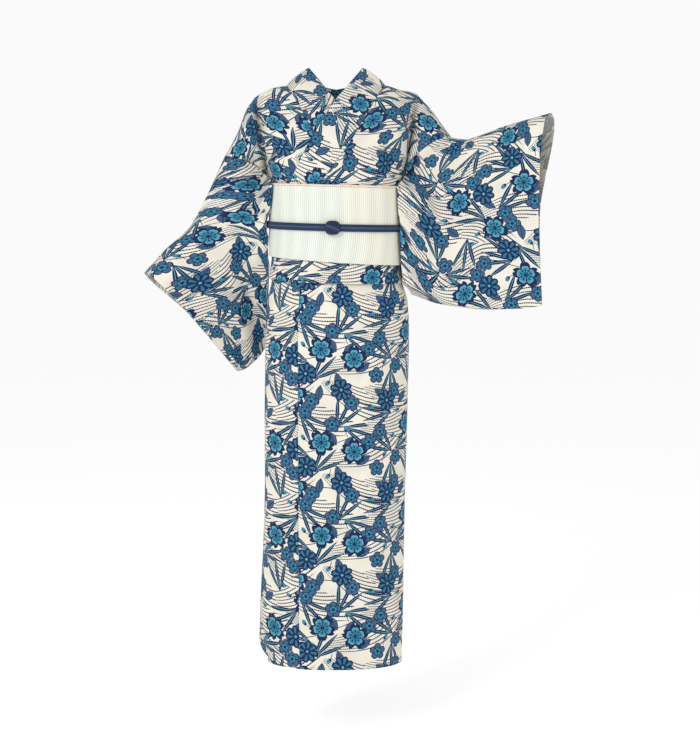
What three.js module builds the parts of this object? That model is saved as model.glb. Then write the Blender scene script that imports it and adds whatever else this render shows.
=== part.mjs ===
// A woman's unlined summer kimono in its worn form, with its sash, standing open and hollow.
// Inside the model, heights are measured from the hem. The exported group puts the origin
// between the shoulders, where the garment is carried. The front faces -Y, and +X is the
// side of the sleeve that is held up.
import * as THREE from "three";

// Driving dimensions, in millimetres
const SHOULDER_HEIGHT = 1290; // of the origin above the hem
const CLOTH = 1.4; // one layer of the printed cloth
const COLLAR_CLOTH = 2.4; // the collar is folded double
const SASH_CLOTH = 1.8; // the sash is folded and stiffened
const SEAM_GAP = 0.3; // between pieces that are sewn together
const SQUARENESS = 2.3; // exponent of the body's rounded sections
const SASH_TOP = 1070;
const SASH_BOTTOM = 905;
const TUCK_BOTTOM = 859; // lower edge of the fold that hangs below the sash
const SKIRT_TOP = 878; // where the fold, hidden under the tuck, turns down into the skirt
const YOKE_END = 1062; // level of the sash where the yoke passes under it
const YOKE_BOTTOM = 1050; // below this the front follows the wrapped body
const CORD_HEIGHT = 981;
const SIDE_SLOPE = -0.025; // the sash sits a little lower on the raised sleeve's side
const FRONT_SLOPE = 0.1; // and lower in front than behind

// The wrapped body, from hem to sash: height, sideways lean, half width and half depth
const BODY = [
  { at: 0, lean: -3.5, wide: 151, deep: 90 },
  { at: 140, lean: -3, wide: 152.5, deep: 94 },
  { at: 365, lean: -1, wide: 156, deep: 102 },
  { at: 600, lean: 2, wide: 159.5, deep: 112 },
  { at: 720, lean: 4, wide: 160, deep: 118 },
  { at: 806, lean: 5, wide: 156.5, deep: 119 },
  { at: 855, lean: 3, wide: 145, deep: 113 },
  { at: 905, lean: 2, wide: 138, deep: 106 },
  { at: 990, lean: 1, wide: 137, deep: 105 },
  { at: 1090, lean: 0, wide: 137.5, deep: 105 },
];

// How far each layer stands out from the body, by turns round it from the front centre.
// The wrap runs from the outer front edge (below 0) round the back (0.5) to the hidden edge.
const LAYERS = [
  { at: -0.28, skirt: 3.2, fold: 8.2, pouch: 10.2, bodice: 8.0 },
  { at: 0, skirt: 2.0, fold: 7.4, pouch: 9.4, bodice: 8.0 },
  { at: 0.235, skirt: 1.0, fold: 4.4, pouch: 6.4, bodice: 6.2 },
  { at: 0.5, skirt: 0, fold: 3.2, pouch: 5.2, bodice: 4.8 },
  { at: 0.765, skirt: -1.3, fold: 2.8, pouch: 4.8, bodice: 4.4 },
  { at: 1, skirt: -2.3, fold: 2.8, pouch: 4.8, bodice: 3.0 },
  { at: 1.28, skirt: -3.4, fold: 2.8, pouch: 4.8, bodice: 3.0 },
];

// Seams of the wrapped skirt, in turns from the front centre
const SKIRT_SEAMS = {
  outerEdge: -0.244,
  outerOverlap: -0.095,
  leftSide: 0.235,
  back: 0.5,
  rightSide: 0.753,
  innerOverlap: 1.095,
  innerEdge: 1.24,
};

// Top outline of each shoulder, from the collar's tip to the sleeve seam
const RIDGES = {
  1: [
    { at: 0, z: 1299 },
    { at: 111, z: 1299 },
    { at: 143, z: 1290 },
    { at: 180, z: 1282 },
    { at: 198, z: 1264 },
    { at: 217, z: 1243 },
    { at: 254, z: 1192 },
    { at: 270, z: 1172 },
  ],
  "-1": [
    { at: 0, z: 1298 },
    { at: 111, z: 1298 },
    { at: 140, z: 1294 },
    { at: 163, z: 1285 },
    { at: 185, z: 1271 },
    { at: 201, z: 1250 },
    { at: 221, z: 1196 },
    { at: 250, z: 1138 },
  ],
};
const RIDGE_Y = 6; // the shoulder line lies this far behind the middle
const ROLL = 45; // height over which the cloth rolls over the shoulder
const OVERLAY = 5; // how far the left front lies over the right one

// Depth of the chest and back from the shoulder line, by height
const YOKE = [
  { at: 1050, front: 114, back: 103.8, wide: 143 },
  { at: 1100, front: 118, back: 106, wide: 152 },
  { at: 1145, front: 118, back: 109, wide: 166 },
  { at: 1180, front: 111, back: 111, wide: 173 },
  { at: 1210, front: 100, back: 111, wide: 180 },
  { at: 1240, front: 86, back: 107, wide: 190 },
  { at: 1270, front: 70, back: 101, wide: 205 },
  { at: 1300, front: 58, back: 100, wide: 225 },
  { at: 1345, front: 44, back: 108, wide: 250 },
];

// The collar on each front, by height: its seam to the body and its free edge
const COLLAR_LINES = [
  { at: 1000, seam: -78, free: -128 },
  { at: 1062, seam: -37, free: -103 },
  { at: 1141, seam: 23, free: -65 },
  { at: 1176, seam: 44, free: -47 },
  { at: 1210, seam: 63, free: -27 },
  { at: 1250, seam: 85, free: -3 },
  { at: 1280, seam: 101, free: 19 },
  { at: 1300, seam: 111, free: 33 },
  { at: 1325, seam: 111, free: 51 },
  { at: 1343, seam: 111, free: 64 },
];
const OVERLAP_SEAM_TOP = 1141; // where the overlap's seam leaves the collar
const OVERLAP_SEAM_X = 5; // and where it passes under the sash

// Sleeves: a row for each station from the armhole to the cuff. Each gives the top fold, the
// middle and the bottom of the bag, and its half thickness at the arm, the middle and low down.
const SLEEVES = {
  1: [
    {
      at: 0, top: [268, 5, 1174], mid: [156, 0, 1100], low: [172, 4, 826],
      arm: 40, half: 12, thin: 11,
    },
    {
      at: 0.3, top: [316, -12, 1170], mid: [228, -12, 1062], low: [240, -18, 803],
      arm: 40, half: 30, thin: 15,
    },
    {
      at: 0.62, top: [392, -60, 1200], mid: [330, -42, 1040], low: [340, -45, 792],
      arm: 38, half: 28, thin: 13,
    },
    {
      at: 0.85, top: [440, -92, 1212], mid: [406, -75, 1015], low: [415, -65, 794],
      arm: 36, half: 18, thin: 8,
    },
    {
      at: 1, top: [470, -110, 1219], mid: [447, -95, 1001], low: [456, -75, 800],
      arm: 33, half: 4, thin: 1.1,
    },
  ],
  "-1": [
    {
      at: 0, top: [-252, 4, 1138], mid: [-169, 6, 1106], low: [-161, 142, 752],
      arm: 40, half: 12, thin: 9,
    },
    {
      at: 0.28, top: [-292, 0, 1050], mid: [-204, 10, 1004], low: [-174, 114, 706],
      arm: 40, half: 30, thin: 14,
    },
    {
      at: 0.55, top: [-330, -10, 978], mid: [-250, 8, 915], low: [-192, 82, 672],
      arm: 38, half: 28, thin: 13,
    },
    {
      at: 0.8, top: [-384, -30, 924], mid: [-296, -5, 840], low: [-217, 76, 652],
      arm: 36, half: 17, thin: 8,
    },
    {
      at: 1, top: [-426, -45, 874], mid: [-330, -15, 779], low: [-230, 70, 648],
      arm: 33, half: 4, thin: 1.1,
    },
  ],
};
const MID_SHARE = 0.4; // share of the sleeve's depth that is sewn to the body
const SLEEVE_FOLDS = {
  1: [
    { across: 0.16, down: 0.3, run: 0.1, long: 0.35, deep: 9 },
    { across: 0.42, down: 0.62, run: 0.1, long: 0.5, deep: 5 },
    { across: 0.74, down: 0.66, run: 0.09, long: 0.5, deep: 4 },
  ],
  "-1": [
    { across: 0.2, down: 0.24, run: 0.12, long: 0.3, deep: 8 },
    { across: 0.34, down: 0.62, run: 0.1, long: 0.5, deep: 6 },
    { across: 0.62, down: 0.6, run: 0.09, long: 0.5, deep: 5 },
  ],
};

// The crease beside the chest, by rows down from the shoulder line
const CREASE = [
  { at: 0, x: 186 },
  { at: 0.5, x: 182 },
  { at: 1, x: 176 },
  { at: 1.4, x: 166 },
  { at: 1.8, x: 153 },
  { at: 2, x: 142 },
];
const CREASE_DEPTH = { 1: 17, "-1": 9 }; // in front and behind
const CREASE_SPREAD = 13;

// Free edge of the collar between the crossing in front and the side of the neck
const FREE_EDGE_DEPTH = [
  { at: 1250, y: -75 },
  { at: 1262, y: -68 },
  { at: 1280, y: -54 },
  { at: 1300, y: -38 },
  { at: 1320, y: -20 },
  { at: 1339, y: -3 },
];
// The collar behind the neck, from the shoulder line to the centre back: seam and free edge
const COLLAR_BACK = [
  { at: 0.26, seamX: 103, x: 62, y: 42, z: 1334 },
  { at: 0.52, seamX: 83, x: 50, y: 76, z: 1324 },
  { at: 0.78, seamX: 50, x: 29, y: 98, z: 1314 },
  { at: 1, seamX: 0, x: 0, y: 107, z: 1309 },
];
const COLLAR_RISE = 40; // the free edge lies this much higher than the seam across from it
const COLLAR_END = 988;

// Sash: two turns of one band, and a drum knot and its tail behind, in profile
const SASH_OUT = { inner: 12.6, step: 2.2, from: 0.35, over: 0.15 };
const DRUM_HALF_WIDTH = 146;
const DRUM_CURVE = 22; // its sides lie this much nearer the body
const DRUM_PROFILE = [
  [124.2, 1052],
  [124.4, 1082],
  [130, 1112],
  [146, 1128],
  [168, 1124],
  [186, 1100],
  [195, 1060],
  [198, 1000],
  [196, 935],
  [191, 886],
  [184, 872],
  [175, 872],
  [166, 890],
  [147, 950],
  [136.8, 984],
  [136.6, 1006],
  [134.6, 1009],
  [132.6, 1006],
  [132, 980],
  [132, 930],
  [136, 870],
  [140, 800],
];
const CORD = {
  level: CORD_HEIGHT,
  high: 16,
  thick: 4,
  out: 18.3,
  back: 140,
  squareness: 9,
  knotX: -6,
  knotHalf: 16.6,
  knotHigh: 15.5,
  knotDeep: 7,
  knotOut: 23.3,
};
const SCARF = { high: 2.2, deep: 2.9, out: 15, turns: 0.215, sides: 8 };

// Colours of the real finishes
const MATERIALS = {
  print: new THREE.MeshStandardMaterial({ color: 0x8fa6b4, roughness: 0.85, metalness: 0 }),
  sash: new THREE.MeshStandardMaterial({ color: 0xe6e8da, roughness: 0.7, metalness: 0 }),
  scarf: new THREE.MeshStandardMaterial({ color: 0xefe2d0, roughness: 0.75, metalness: 0 }),
  cord: new THREE.MeshStandardMaterial({ color: 0x263a5e, roughness: 0.65, metalness: 0 }),
};

const garment = new THREE.Group();
garment.position.z = -SHOULDER_HEIGHT;

// Small helpers
const mix = (a, b, t) => a + (b - a) * t;
const clamp = (t) => Math.min(1, Math.max(0, t));
const ease = (t) => clamp(t) ** 2 * (3 - 2 * clamp(t));
const mixPoint = (p, q, t) => p.map((a, k) => mix(a, q[k], t));
const steps = (n) => Array.from({ length: n + 1 }, (_, i) => i / n);
const spread = (from, to, n) => steps(n).map((t) => mix(from, to, t));

// A smooth curve through the rows of a table that never swings past them. `read` picks the
// value from a row, and rows are ordered by `at`.
function smooth(rows, read, at) {
  const last = rows.length - 1;
  if (at <= rows[0].at) return read(rows[0]);
  if (at >= rows[last].at) return read(rows[last]);
  let k = 0;
  while (rows[k + 1].at < at) k++;
  const slope = (i) => (read(rows[i + 1]) - read(rows[i])) / (rows[i + 1].at - rows[i].at);
  const tangent = (i) => {
    if (i === 0) return slope(0);
    if (i === last) return slope(last - 1);
    const [before, after] = [slope(i - 1), slope(i)];
    return before * after <= 0 ? 0 : (2 * before * after) / (before + after);
  };
  const width = rows[k + 1].at - rows[k].at;
  const t = (at - rows[k].at) / width;
  return (
    read(rows[k]) * (1 + 2 * t) * (1 - t) ** 2 +
    read(rows[k + 1]) * t * t * (3 - 2 * t) +
    tangent(k) * width * t * (1 - t) ** 2 -
    tangent(k + 1) * width * t * t * (1 - t)
  );
}
const column = (rows, name, at) => smooth(rows, (row) => row[name], at);
const columnPoint = (rows, name, at) => [0, 1, 2].map((k) => smooth(rows, (row) => row[name][k], at));

// Turns a grid of points into a cloth wall of even thickness: the points are moved half of
// it each way along the surface's normals, and the edges are closed. A looped grid's last
// column joins its first.
function wall(grid, thickness, looped = false) {
  const rows = grid.length;
  const columns = grid[0].length;
  const around = looped ? columns : columns - 1;
  const at = (i, j) => new THREE.Vector3(...grid[i][looped ? (j + columns) % columns : j]);
  const normal = (i, j) => {
    const down = at(Math.min(i + 1, rows - 1), j).sub(at(Math.max(i - 1, 0), j));
    const [next, before] = looped ? [j + 1, j - 1] : [Math.min(j + 1, columns - 1), Math.max(j - 1, 0)];
    return at(i, next).sub(at(i, before)).cross(down).normalize();
  };
  const positions = [];
  for (const side of [0.5, -0.5])
    for (let i = 0; i < rows; i++)
      for (let j = 0; j < columns; j++)
        positions.push(...at(i, j).addScaledVector(normal(i, j), side * thickness).toArray());
  const outer = (i, j) => i * columns + (j % columns);
  const inner = (i, j) => rows * columns + outer(i, j);
  const faces = [];
  const quad = (a, b, c, d) => faces.push(a, b, c, a, c, d);
  for (let i = 0; i < rows - 1; i++)
    for (let j = 0; j < around; j++) {
      quad(outer(i, j), outer(i, j + 1), outer(i + 1, j + 1), outer(i + 1, j));
      quad(inner(i, j), inner(i + 1, j), inner(i + 1, j + 1), inner(i, j + 1));
    }
  for (let j = 0; j < around; j++) {
    quad(outer(0, j + 1), outer(0, j), inner(0, j), inner(0, j + 1));
    quad(outer(rows - 1, j), outer(rows - 1, j + 1), inner(rows - 1, j + 1), inner(rows - 1, j));
  }
  if (!looped)
    for (let i = 0; i < rows - 1; i++) {
      quad(outer(i, 0), outer(i + 1, 0), inner(i + 1, 0), inner(i, 0));
      quad(outer(i + 1, around), outer(i, around), inner(i, around), inner(i + 1, around));
    }
  const geometry = new THREE.BufferGeometry();
  geometry.setAttribute("position", new THREE.Float32BufferAttribute(positions, 3));
  geometry.setIndex(faces);
  return geometry;
}

function piece(name, geometry, material) {
  geometry.computeVertexNormals();
  const mesh = new THREE.Mesh(geometry, material);
  mesh.name = name;
  garment.add(mesh);
}

// The body's rounded section at a height, by turns from the front centre, moved out by
// `out`. Turns are shares of the section's length, so cloth keeps its width.
const ARC_STEPS = 40;
const arcTables = new Map();
function sectionPoint(wide, deep, angle) {
  const power = (v) => Math.abs(v) ** (2 / SQUARENESS);
  return [wide * power(Math.sin(angle)), deep * power(Math.cos(angle))];
}
function arcLengths(wide, deep) {
  const key = `${wide.toFixed(2)} ${deep.toFixed(2)}`;
  if (!arcTables.has(key)) {
    const lengths = [0];
    for (let k = 1; k <= ARC_STEPS; k++) {
      const [p, q] = [k - 1, k].map((i) => sectionPoint(wide, deep, (i / ARC_STEPS) * (Math.PI / 2)));
      lengths.push(lengths[k - 1] + Math.hypot(q[0] - p[0], q[1] - p[1]));
    }
    arcTables.set(key, lengths);
  }
  return arcTables.get(key);
}
const sectionSize = (height, out) => [column(BODY, "wide", height) + out, column(BODY, "deep", height) + out];
function bodyPoint(turn, height, out) {
  const [wide, deep] = sectionSize(height, out);
  const quarters = (((turn % 1) + 1) % 1) * 4;
  const quarter = Math.min(3, Math.floor(quarters));
  const share = quarter % 2 ? 1 - (quarters - quarter) : quarters - quarter;
  const lengths = arcLengths(wide, deep);
  const wanted = share * lengths[ARC_STEPS];
  let k = 0;
  while (k < ARC_STEPS - 1 && lengths[k + 1] < wanted) k++;
  const t = (wanted - lengths[k]) / (lengths[k + 1] - lengths[k]);
  const [x, y] = sectionPoint(wide, deep, ((k + t) / ARC_STEPS) * (Math.PI / 2));
  const lean = column(BODY, "lean", height);
  return [lean + (quarter < 2 ? x : -x), quarter === 0 || quarter === 3 ? -y : y, height];
}
function turnOf(x, height, out) {
  const [wide, deep] = sectionSize(height, out);
  const aside = x - column(BODY, "lean", height);
  const angle = Math.asin(Math.min(1, Math.abs(aside) / wide) ** (SQUARENESS / 2));
  const lengths = arcLengths(wide, deep);
  const step = (angle / (Math.PI / 2)) * ARC_STEPS;
  const k = Math.min(ARC_STEPS - 1, Math.floor(step));
  const share = mix(lengths[k], lengths[k + 1], step - k) / lengths[ARC_STEPS];
  return (Math.sign(aside) * share) / 4;
}
const SEAM_TURN = SEAM_GAP / 2 / 840;

// A level line of the sash: it dips towards the front and the raised sleeve
function sashPoint(turn, level, out) {
  const flat = bodyPoint(turn, level, out);
  return bodyPoint(turn, level + SIDE_SLOPE * flat[0] + FRONT_SLOPE * flat[1], out);
}

// Skirt: six panels on one spiral. The overlap's lower corner rises and flares outwards.
const SKIRT_ROWS = [0, 0.05, 0.12, 0.24, 0.38, 0.52, 0.66, 0.78, 0.86, 0.92, 0.96, 1];
const HEM_RISE = 46;
const EDGE_FLARE = 15;
function skirtPoint(turn, share) {
  const { outerEdge, outerOverlap, innerOverlap, innerEdge } = SKIRT_SEAMS;
  const outerShare = clamp((outerOverlap - turn) / (outerOverlap - outerEdge));
  const innerShare = clamp((turn - innerOverlap) / (innerEdge - innerOverlap));
  const hem = HEM_RISE * Math.max(outerShare, innerShare) ** 2.2;
  const top = sashPoint(turn, SKIRT_TOP, column(LAYERS, "skirt", turn))[2];
  const height = mix(hem, top, share);
  const flare = EDGE_FLARE * outerShare ** 2 * (1 - ease(height / 420));
  return bodyPoint(turn, height, column(LAYERS, "skirt", turn) + flare);
}
function skirtPanel(name, from, to, columns) {
  const turns = spread(from + SEAM_TURN, to - SEAM_TURN, columns);
  const grid = SKIRT_ROWS.map((share) => turns.map((turn) => skirtPoint(turn, share)));
  piece(name, wall(grid, CLOTH), MATERIALS.print);
}
skirtPanel("overlap_left_skirt", SKIRT_SEAMS.outerEdge, SKIRT_SEAMS.outerOverlap, 7);
skirtPanel("front_left_skirt", SKIRT_SEAMS.outerOverlap, SKIRT_SEAMS.leftSide, 12);
skirtPanel("back_left_skirt", SKIRT_SEAMS.leftSide, SKIRT_SEAMS.back, 9);
skirtPanel("back_right_skirt", SKIRT_SEAMS.back, SKIRT_SEAMS.rightSide, 9);
skirtPanel("front_right_skirt", SKIRT_SEAMS.rightSide, SKIRT_SEAMS.innerOverlap, 12);
skirtPanel("overlap_right_skirt", SKIRT_SEAMS.innerOverlap, SKIRT_SEAMS.innerEdge, 6);

// The bodice below the yoke, under the sash. The outer layers hang below the sash, fold up
// inside and turn over into the skirt; the hidden right front runs straight into it.
// Each row gives a level and a distance out from the body, for a number of turns.
const layer = (name) => (turn) => column(LAYERS, name, turn);
const arcOf = (from, to, level, sign) =>
  [0.2, 0.5, 0.8].map((t) => (turn) => {
    const [a, b] = [from(turn), to(turn)];
    const radius = Math.abs(a - b) / 2;
    return [level + sign * radius * Math.sin(Math.PI * t), mix(a, b, (1 - Math.cos(Math.PI * t)) / 2)];
  });
const tuckedRows = (levels) => [
  ...levels.map((level) => (turn) => [level, layer("bodice")(turn)]),
  (turn) => [901, mix(layer("bodice")(turn), layer("pouch")(turn), 0.4)],
  ...[889, TUCK_BOTTOM + 2.2].map((level) => (turn) => [level, layer("pouch")(turn)]),
  ...arcOf(layer("pouch"), layer("fold"), TUCK_BOTTOM + 1.7, -1),
  ...[TUCK_BOTTOM + 2.2, SKIRT_TOP + 2].map((level) => (turn) => [level, layer("fold")(turn)]),
  ...arcOf(layer("fold"), layer("skirt"), SKIRT_TOP + 2.5, 1),
  (turn) => [SKIRT_TOP + SEAM_GAP, layer("skirt")(turn)],
];
const TUCKED_ROWS = tuckedRows([YOKE_END, 1018, 980, 925]);
const PLAIN_ROWS = [
  ...[YOKE_END, 1018, 980, 940].map((level) => (turn) => [level, layer("bodice")(turn)]),
  (turn) => [914, mix(layer("bodice")(turn), layer("skirt")(turn), 0.6)],
  ...[898, SKIRT_TOP + SEAM_GAP].map((level) => (turn) => [level, layer("skirt")(turn)]),
];
// Rows of points between two edges, given as turns by level
const tuckGrid = (rows, from, to, shares) =>
  rows.map((row) =>
    shares.map((share) => {
      const level = row(0.25)[0];
      const turn = mix(from(level), to(level), share);
      return sashPoint(turn, ...row(turn));
    }),
  );

// The sleeve bag: at each station a narrow loop hangs from the arm. `down` runs from the top
// fold (0) to the bottom fold (1), and `face` is 1 for the front layer and -1 for the back.
function sleeveCentre(side, across, down) {
  const line = [
    { at: 0, point: columnPoint(SLEEVES[side], "top", across) },
    { at: MID_SHARE, point: columnPoint(SLEEVES[side], "mid", across) },
    { at: 1, point: columnPoint(SLEEVES[side], "low", across) },
  ];
  return columnPoint(line, "point", down);
}
function sleeveDepth(side, across) {
  const top = columnPoint(SLEEVES[side], "top", across);
  return Math.hypot(...columnPoint(SLEEVES[side], "low", across).map((v, k) => v - top[k]));
}
const FLOOR = 0.975; // where the bottom fold begins to round off
function sleeveHalf(side, across, down) {
  const depth = sleeveDepth(side, across);
  const [arm, half, thin] = ["arm", "half", "thin"].map((name) => column(SLEEVES[side], name, across));
  const shape = [
    { at: 0, v: arm },
    { at: arm / depth, v: arm },
    { at: MID_SHARE, v: half },
    { at: 0.82, v: thin },
    { at: 1, v: thin },
  ];
  const cap = Math.sqrt(1 - (1 - clamp((down * depth) / arm)) ** 2);
  const tuck = Math.sqrt(1 - clamp((down - FLOOR) / (1 - FLOOR)) ** 2);
  return column(shape, "v", down) * cap * tuck;
}
function sleevePoint(side, across, down, face) {
  const step = 0.01;
  const between = (a, b) =>
    new THREE.Vector3(...sleeveCentre(side, ...b)).sub(new THREE.Vector3(...sleeveCentre(side, ...a)));
  const along = between([Math.max(0, across - step), down], [Math.min(1, across + step), down]);
  const fall = between([across, Math.max(0, down - step)], [across, Math.min(1, down + step)]);
  const normal = along.cross(fall).normalize();
  if (normal.y > 0) normal.negate();
  let ripple = 0;
  for (const fold of SLEEVE_FOLDS[side]) {
    const aside = (across - fold.across) / fold.run;
    const along = (down - fold.down) / fold.long;
    ripple += fold.deep * Math.exp(-(aside ** 2) - 2 * along ** 2);
  }
  const fade = ease(down / 0.15) * ease(across / 0.1) * ease((1 - across) / 0.12) * ease((1 - down) / 0.1);
  return new THREE.Vector3(...sleeveCentre(side, across, down))
    .addScaledVector(normal, face * sleeveHalf(side, across, down) + ripple * fade)
    .toArray();
}
const CAP_STEPS = [0, 0.06, 0.22, 0.5, 1]; // shares of the arm's radius, down from the top fold
function armDowns(side, across) {
  const arm = column(SLEEVES[side], "arm", across) / sleeveDepth(side, across);
  return [...CAP_STEPS.map((share) => share * arm), ...spread(arm, MID_SHARE, 4).slice(1)];
}
const BAG_DOWNS = [0.5, 0.62, 0.74, 0.86, 0.95, 0.985, 1];
const ARMHOLE_GAP = 0.005; // as a share of the sleeve's width
function sleeve(name, side, columns) {
  const grid = spread(ARMHOLE_GAP, 1, columns).map((across) => {
    const downs = [...armDowns(side, across), ...BAG_DOWNS];
    const front = downs.map((down) => sleevePoint(side, across, down, 1));
    const back = downs.slice(1, -1).map((down) => sleevePoint(side, across, down, -1));
    return [...front.reverse(), ...back];
  });
  piece(name, wall(grid, CLOTH, true), MATERIALS.print);
}
sleeve("sleeve_left", 1, 13);
sleeve("sleeve_right", -1, 13);

// The yoke: the cloth over chest, shoulders and back. `roll` runs from 0 on the shoulder line
// to 2 at the sash, and `face` is 1 in front and -1 behind. `x` grows away from the middle.
const ROLLS = [0, 0.26, 0.52, 0.78, 1, 1.2, 1.4, 1.6, 1.8];
const ridgeHeight = (x, side) => column(RIDGES[side], "z", Math.abs(x));
const sashLevelHeight = (x, level, face) => level + SIDE_SLOPE * x - face * FRONT_SLOPE * 110;
function rollHeight(x, roll, face, side) {
  const ridge = ridgeHeight(x, side);
  return roll < 1
    ? ridge - ROLL * (1 - Math.cos((roll * Math.PI) / 2))
    : mix(ridge - ROLL, sashLevelHeight(side * x, YOKE_END, face), roll - 1);
}
const overlay = (height) => OVERLAY * (1 - ease((height - 1255) / 44));
function yokeDepth(x, height, side, face) {
  const rolled = Math.sqrt(1 - (1 - clamp((ridgeHeight(x, side) - height) / ROLL)) ** 2);
  const width = column(YOKE, "wide", height);
  const round = (1 - Math.min(1, Math.abs(x) / width) ** SQUARENESS) ** (1 / SQUARENESS);
  const lift = side > 0 && face > 0 ? overlay(height) : 0;
  const depth = column(YOKE, face > 0 ? "front" : "back", height) * round;
  return RIDGE_Y - face * (depth * rolled + lift * rolled);
}

// Front of the bodice at any height, with `x` from the middle towards its own side
function frontPoint(x, height, side) {
  if (height >= YOKE_BOTTOM) return [side * x, yokeDepth(x, height, side, 1), height];
  const turn = side > 0 ? 0 : 1;
  const out = column(LAYERS, "bodice", turn + side * 0.02);
  const [wide, deep] = sectionSize(height, out);
  const round = (1 - Math.min(1, Math.abs(x) / wide) ** SQUARENESS) ** (1 / SQUARENESS);
  return [side * x, -deep * round, height];
}
const seamX = (height) => column(COLLAR_LINES, "seam", height);
const overlapX = (height) => mix(OVERLAP_SEAM_X, 23, (height - 1062) / (OVERLAP_SEAM_TOP - 1062));

// Body panels: one cloth from the sash in front over the shoulder and down the back, to the
// collar in the middle and the sleeve at the side. Beyond the crease it covers the upper arm.
const CHEST_SHARES = [0, 0.2, 0.4, 0.58, 0.74, 0.86, 0.94, 1];
const ARM_SHARES = [0.16, 0.4, 0.7, 1];
function innerX(roll, face, side) {
  const height = rollHeight(0, roll, face, side);
  if (face > 0) return height < OVERLAP_SEAM_TOP ? overlapX(height) : seamX(height);
  const neck = [{ at: 0, seamX: 111 }, ...COLLAR_BACK];
  return Math.max(SEAM_GAP / 2, column(neck, "seamX", roll));
}
function valley(roll, face, distance) {
  const deep = CREASE_DEPTH[face] * Math.sin(Math.PI * clamp((roll - 0.25) / 1.7));
  return face * deep * Math.exp(-((distance / CREASE_SPREAD) ** 2));
}
function chestPoint(share, roll, face, side) {
  const [inner, crease] = [innerX(roll, face, side), column(CREASE, "x", roll)];
  const x = mix(inner, crease, share);
  const height = rollHeight(x, roll, face, side);
  return [side * x, yokeDepth(x, height, side, face) + valley(roll, face, crease - x), height];
}
const armholePoint = (row, face, side) => sleevePoint(side, 0, armDowns(side, 0)[row], face);
function armPoint(share, row, face, side) {
  const roll = ROLLS[row];
  const crease = chestPoint(1, roll, face, side);
  const edge = armholePoint(row, face, side);
  const point = mixPoint(crease, edge, share);
  const [top, end] = [chestPoint(1, 0, face, side), armholePoint(0, face, side)];
  const x = mix(top[0], end[0], share);
  const keep = 1 - ease(roll / 1.1);
  const swell = Math.sin(Math.PI * Math.min(share, 0.999)) ** 0.25;
  point[2] += keep * (ridgeHeight(x, side) - mix(top[2], end[2], share)) * swell;
  const distance = Math.hypot(...edge.map((v, k) => v - crease[k])) * share;
  const hollow = valley(roll, face, distance) - valley(roll, face, 0) * (1 - share);
  const bulge = 7 * Math.sin(Math.PI * share) * Math.sin((Math.PI * Math.min(roll, 2)) / 2);
  point[1] += hollow * (1 - share) - face * bulge;
  return point;
}
function yokeRow(row, face, side) {
  const chest = CHEST_SHARES.map((share) => chestPoint(share, ROLLS[row], face, side));
  return [...chest, ...ARM_SHARES.map((share) => armPoint(share, row, face, side))];
}
// Under the sash the same columns go on as turns round the body, from `inner` to the side
function hiddenRows(rows, face, side, inner, sideSeam) {
  const bodyTurn = side > 0 ? 0 : 1;
  const start = innerX(2, face, side);
  const out = rows[0](face > 0 ? bodyTurn : 0.5)[1];
  const height = sashLevelHeight(0, YOKE_END, face);
  const turnAt = (x) => {
    const turn = turnOf(side * x, height, out);
    return face > 0 ? bodyTurn + turn : 0.5 - turn;
  };
  const crease = column(CREASE, "x", 2);
  const first = turnAt(start);
  const chest = CHEST_SHARES.map((share) => turnAt(mix(start, crease, share)));
  const turns = [...chest, ...ARM_SHARES.map((share) => mix(turnAt(crease), sideSeam, share))];
  const shares = turns.map((turn) => (turn - first) / (sideSeam - first));
  return tuckGrid(rows, (level) => inner(level, first), () => sideSeam, shares);
}
const sideSeamOf = (side) => (side > 0 ? SKIRT_SEAMS.leftSide : SKIRT_SEAMS.rightSide);
const overlapSeamOf = (side) => (side > 0 ? SKIRT_SEAMS.outerOverlap : SKIRT_SEAMS.innerOverlap);
const overlapTurn = (level, first, side) =>
  mix(first, overlapSeamOf(side), clamp((YOKE_END - level) / 140));
function bodyPanel(name, side) {
  const inner = (level, first) => overlapTurn(level, first, side);
  const sideSeam = sideSeamOf(side);
  const front = hiddenRows(side > 0 ? TUCKED_ROWS : PLAIN_ROWS, 1, side, inner, sideSeam - side * SEAM_TURN);
  const back = hiddenRows(TUCKED_ROWS, -1, side, () => 0.5 - side * SEAM_TURN, sideSeam + side * SEAM_TURN);
  const yoke = (face) => ROLLS.map((_, row) => yokeRow(row, face, side));
  const grid = [...front.reverse(), ...yoke(1).reverse(), ...yoke(-1).slice(1), ...back];
  piece(name, wall(grid, CLOTH), MATERIALS.print);
}
bodyPanel("body_left", 1);
bodyPanel("body_right", -1);

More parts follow.
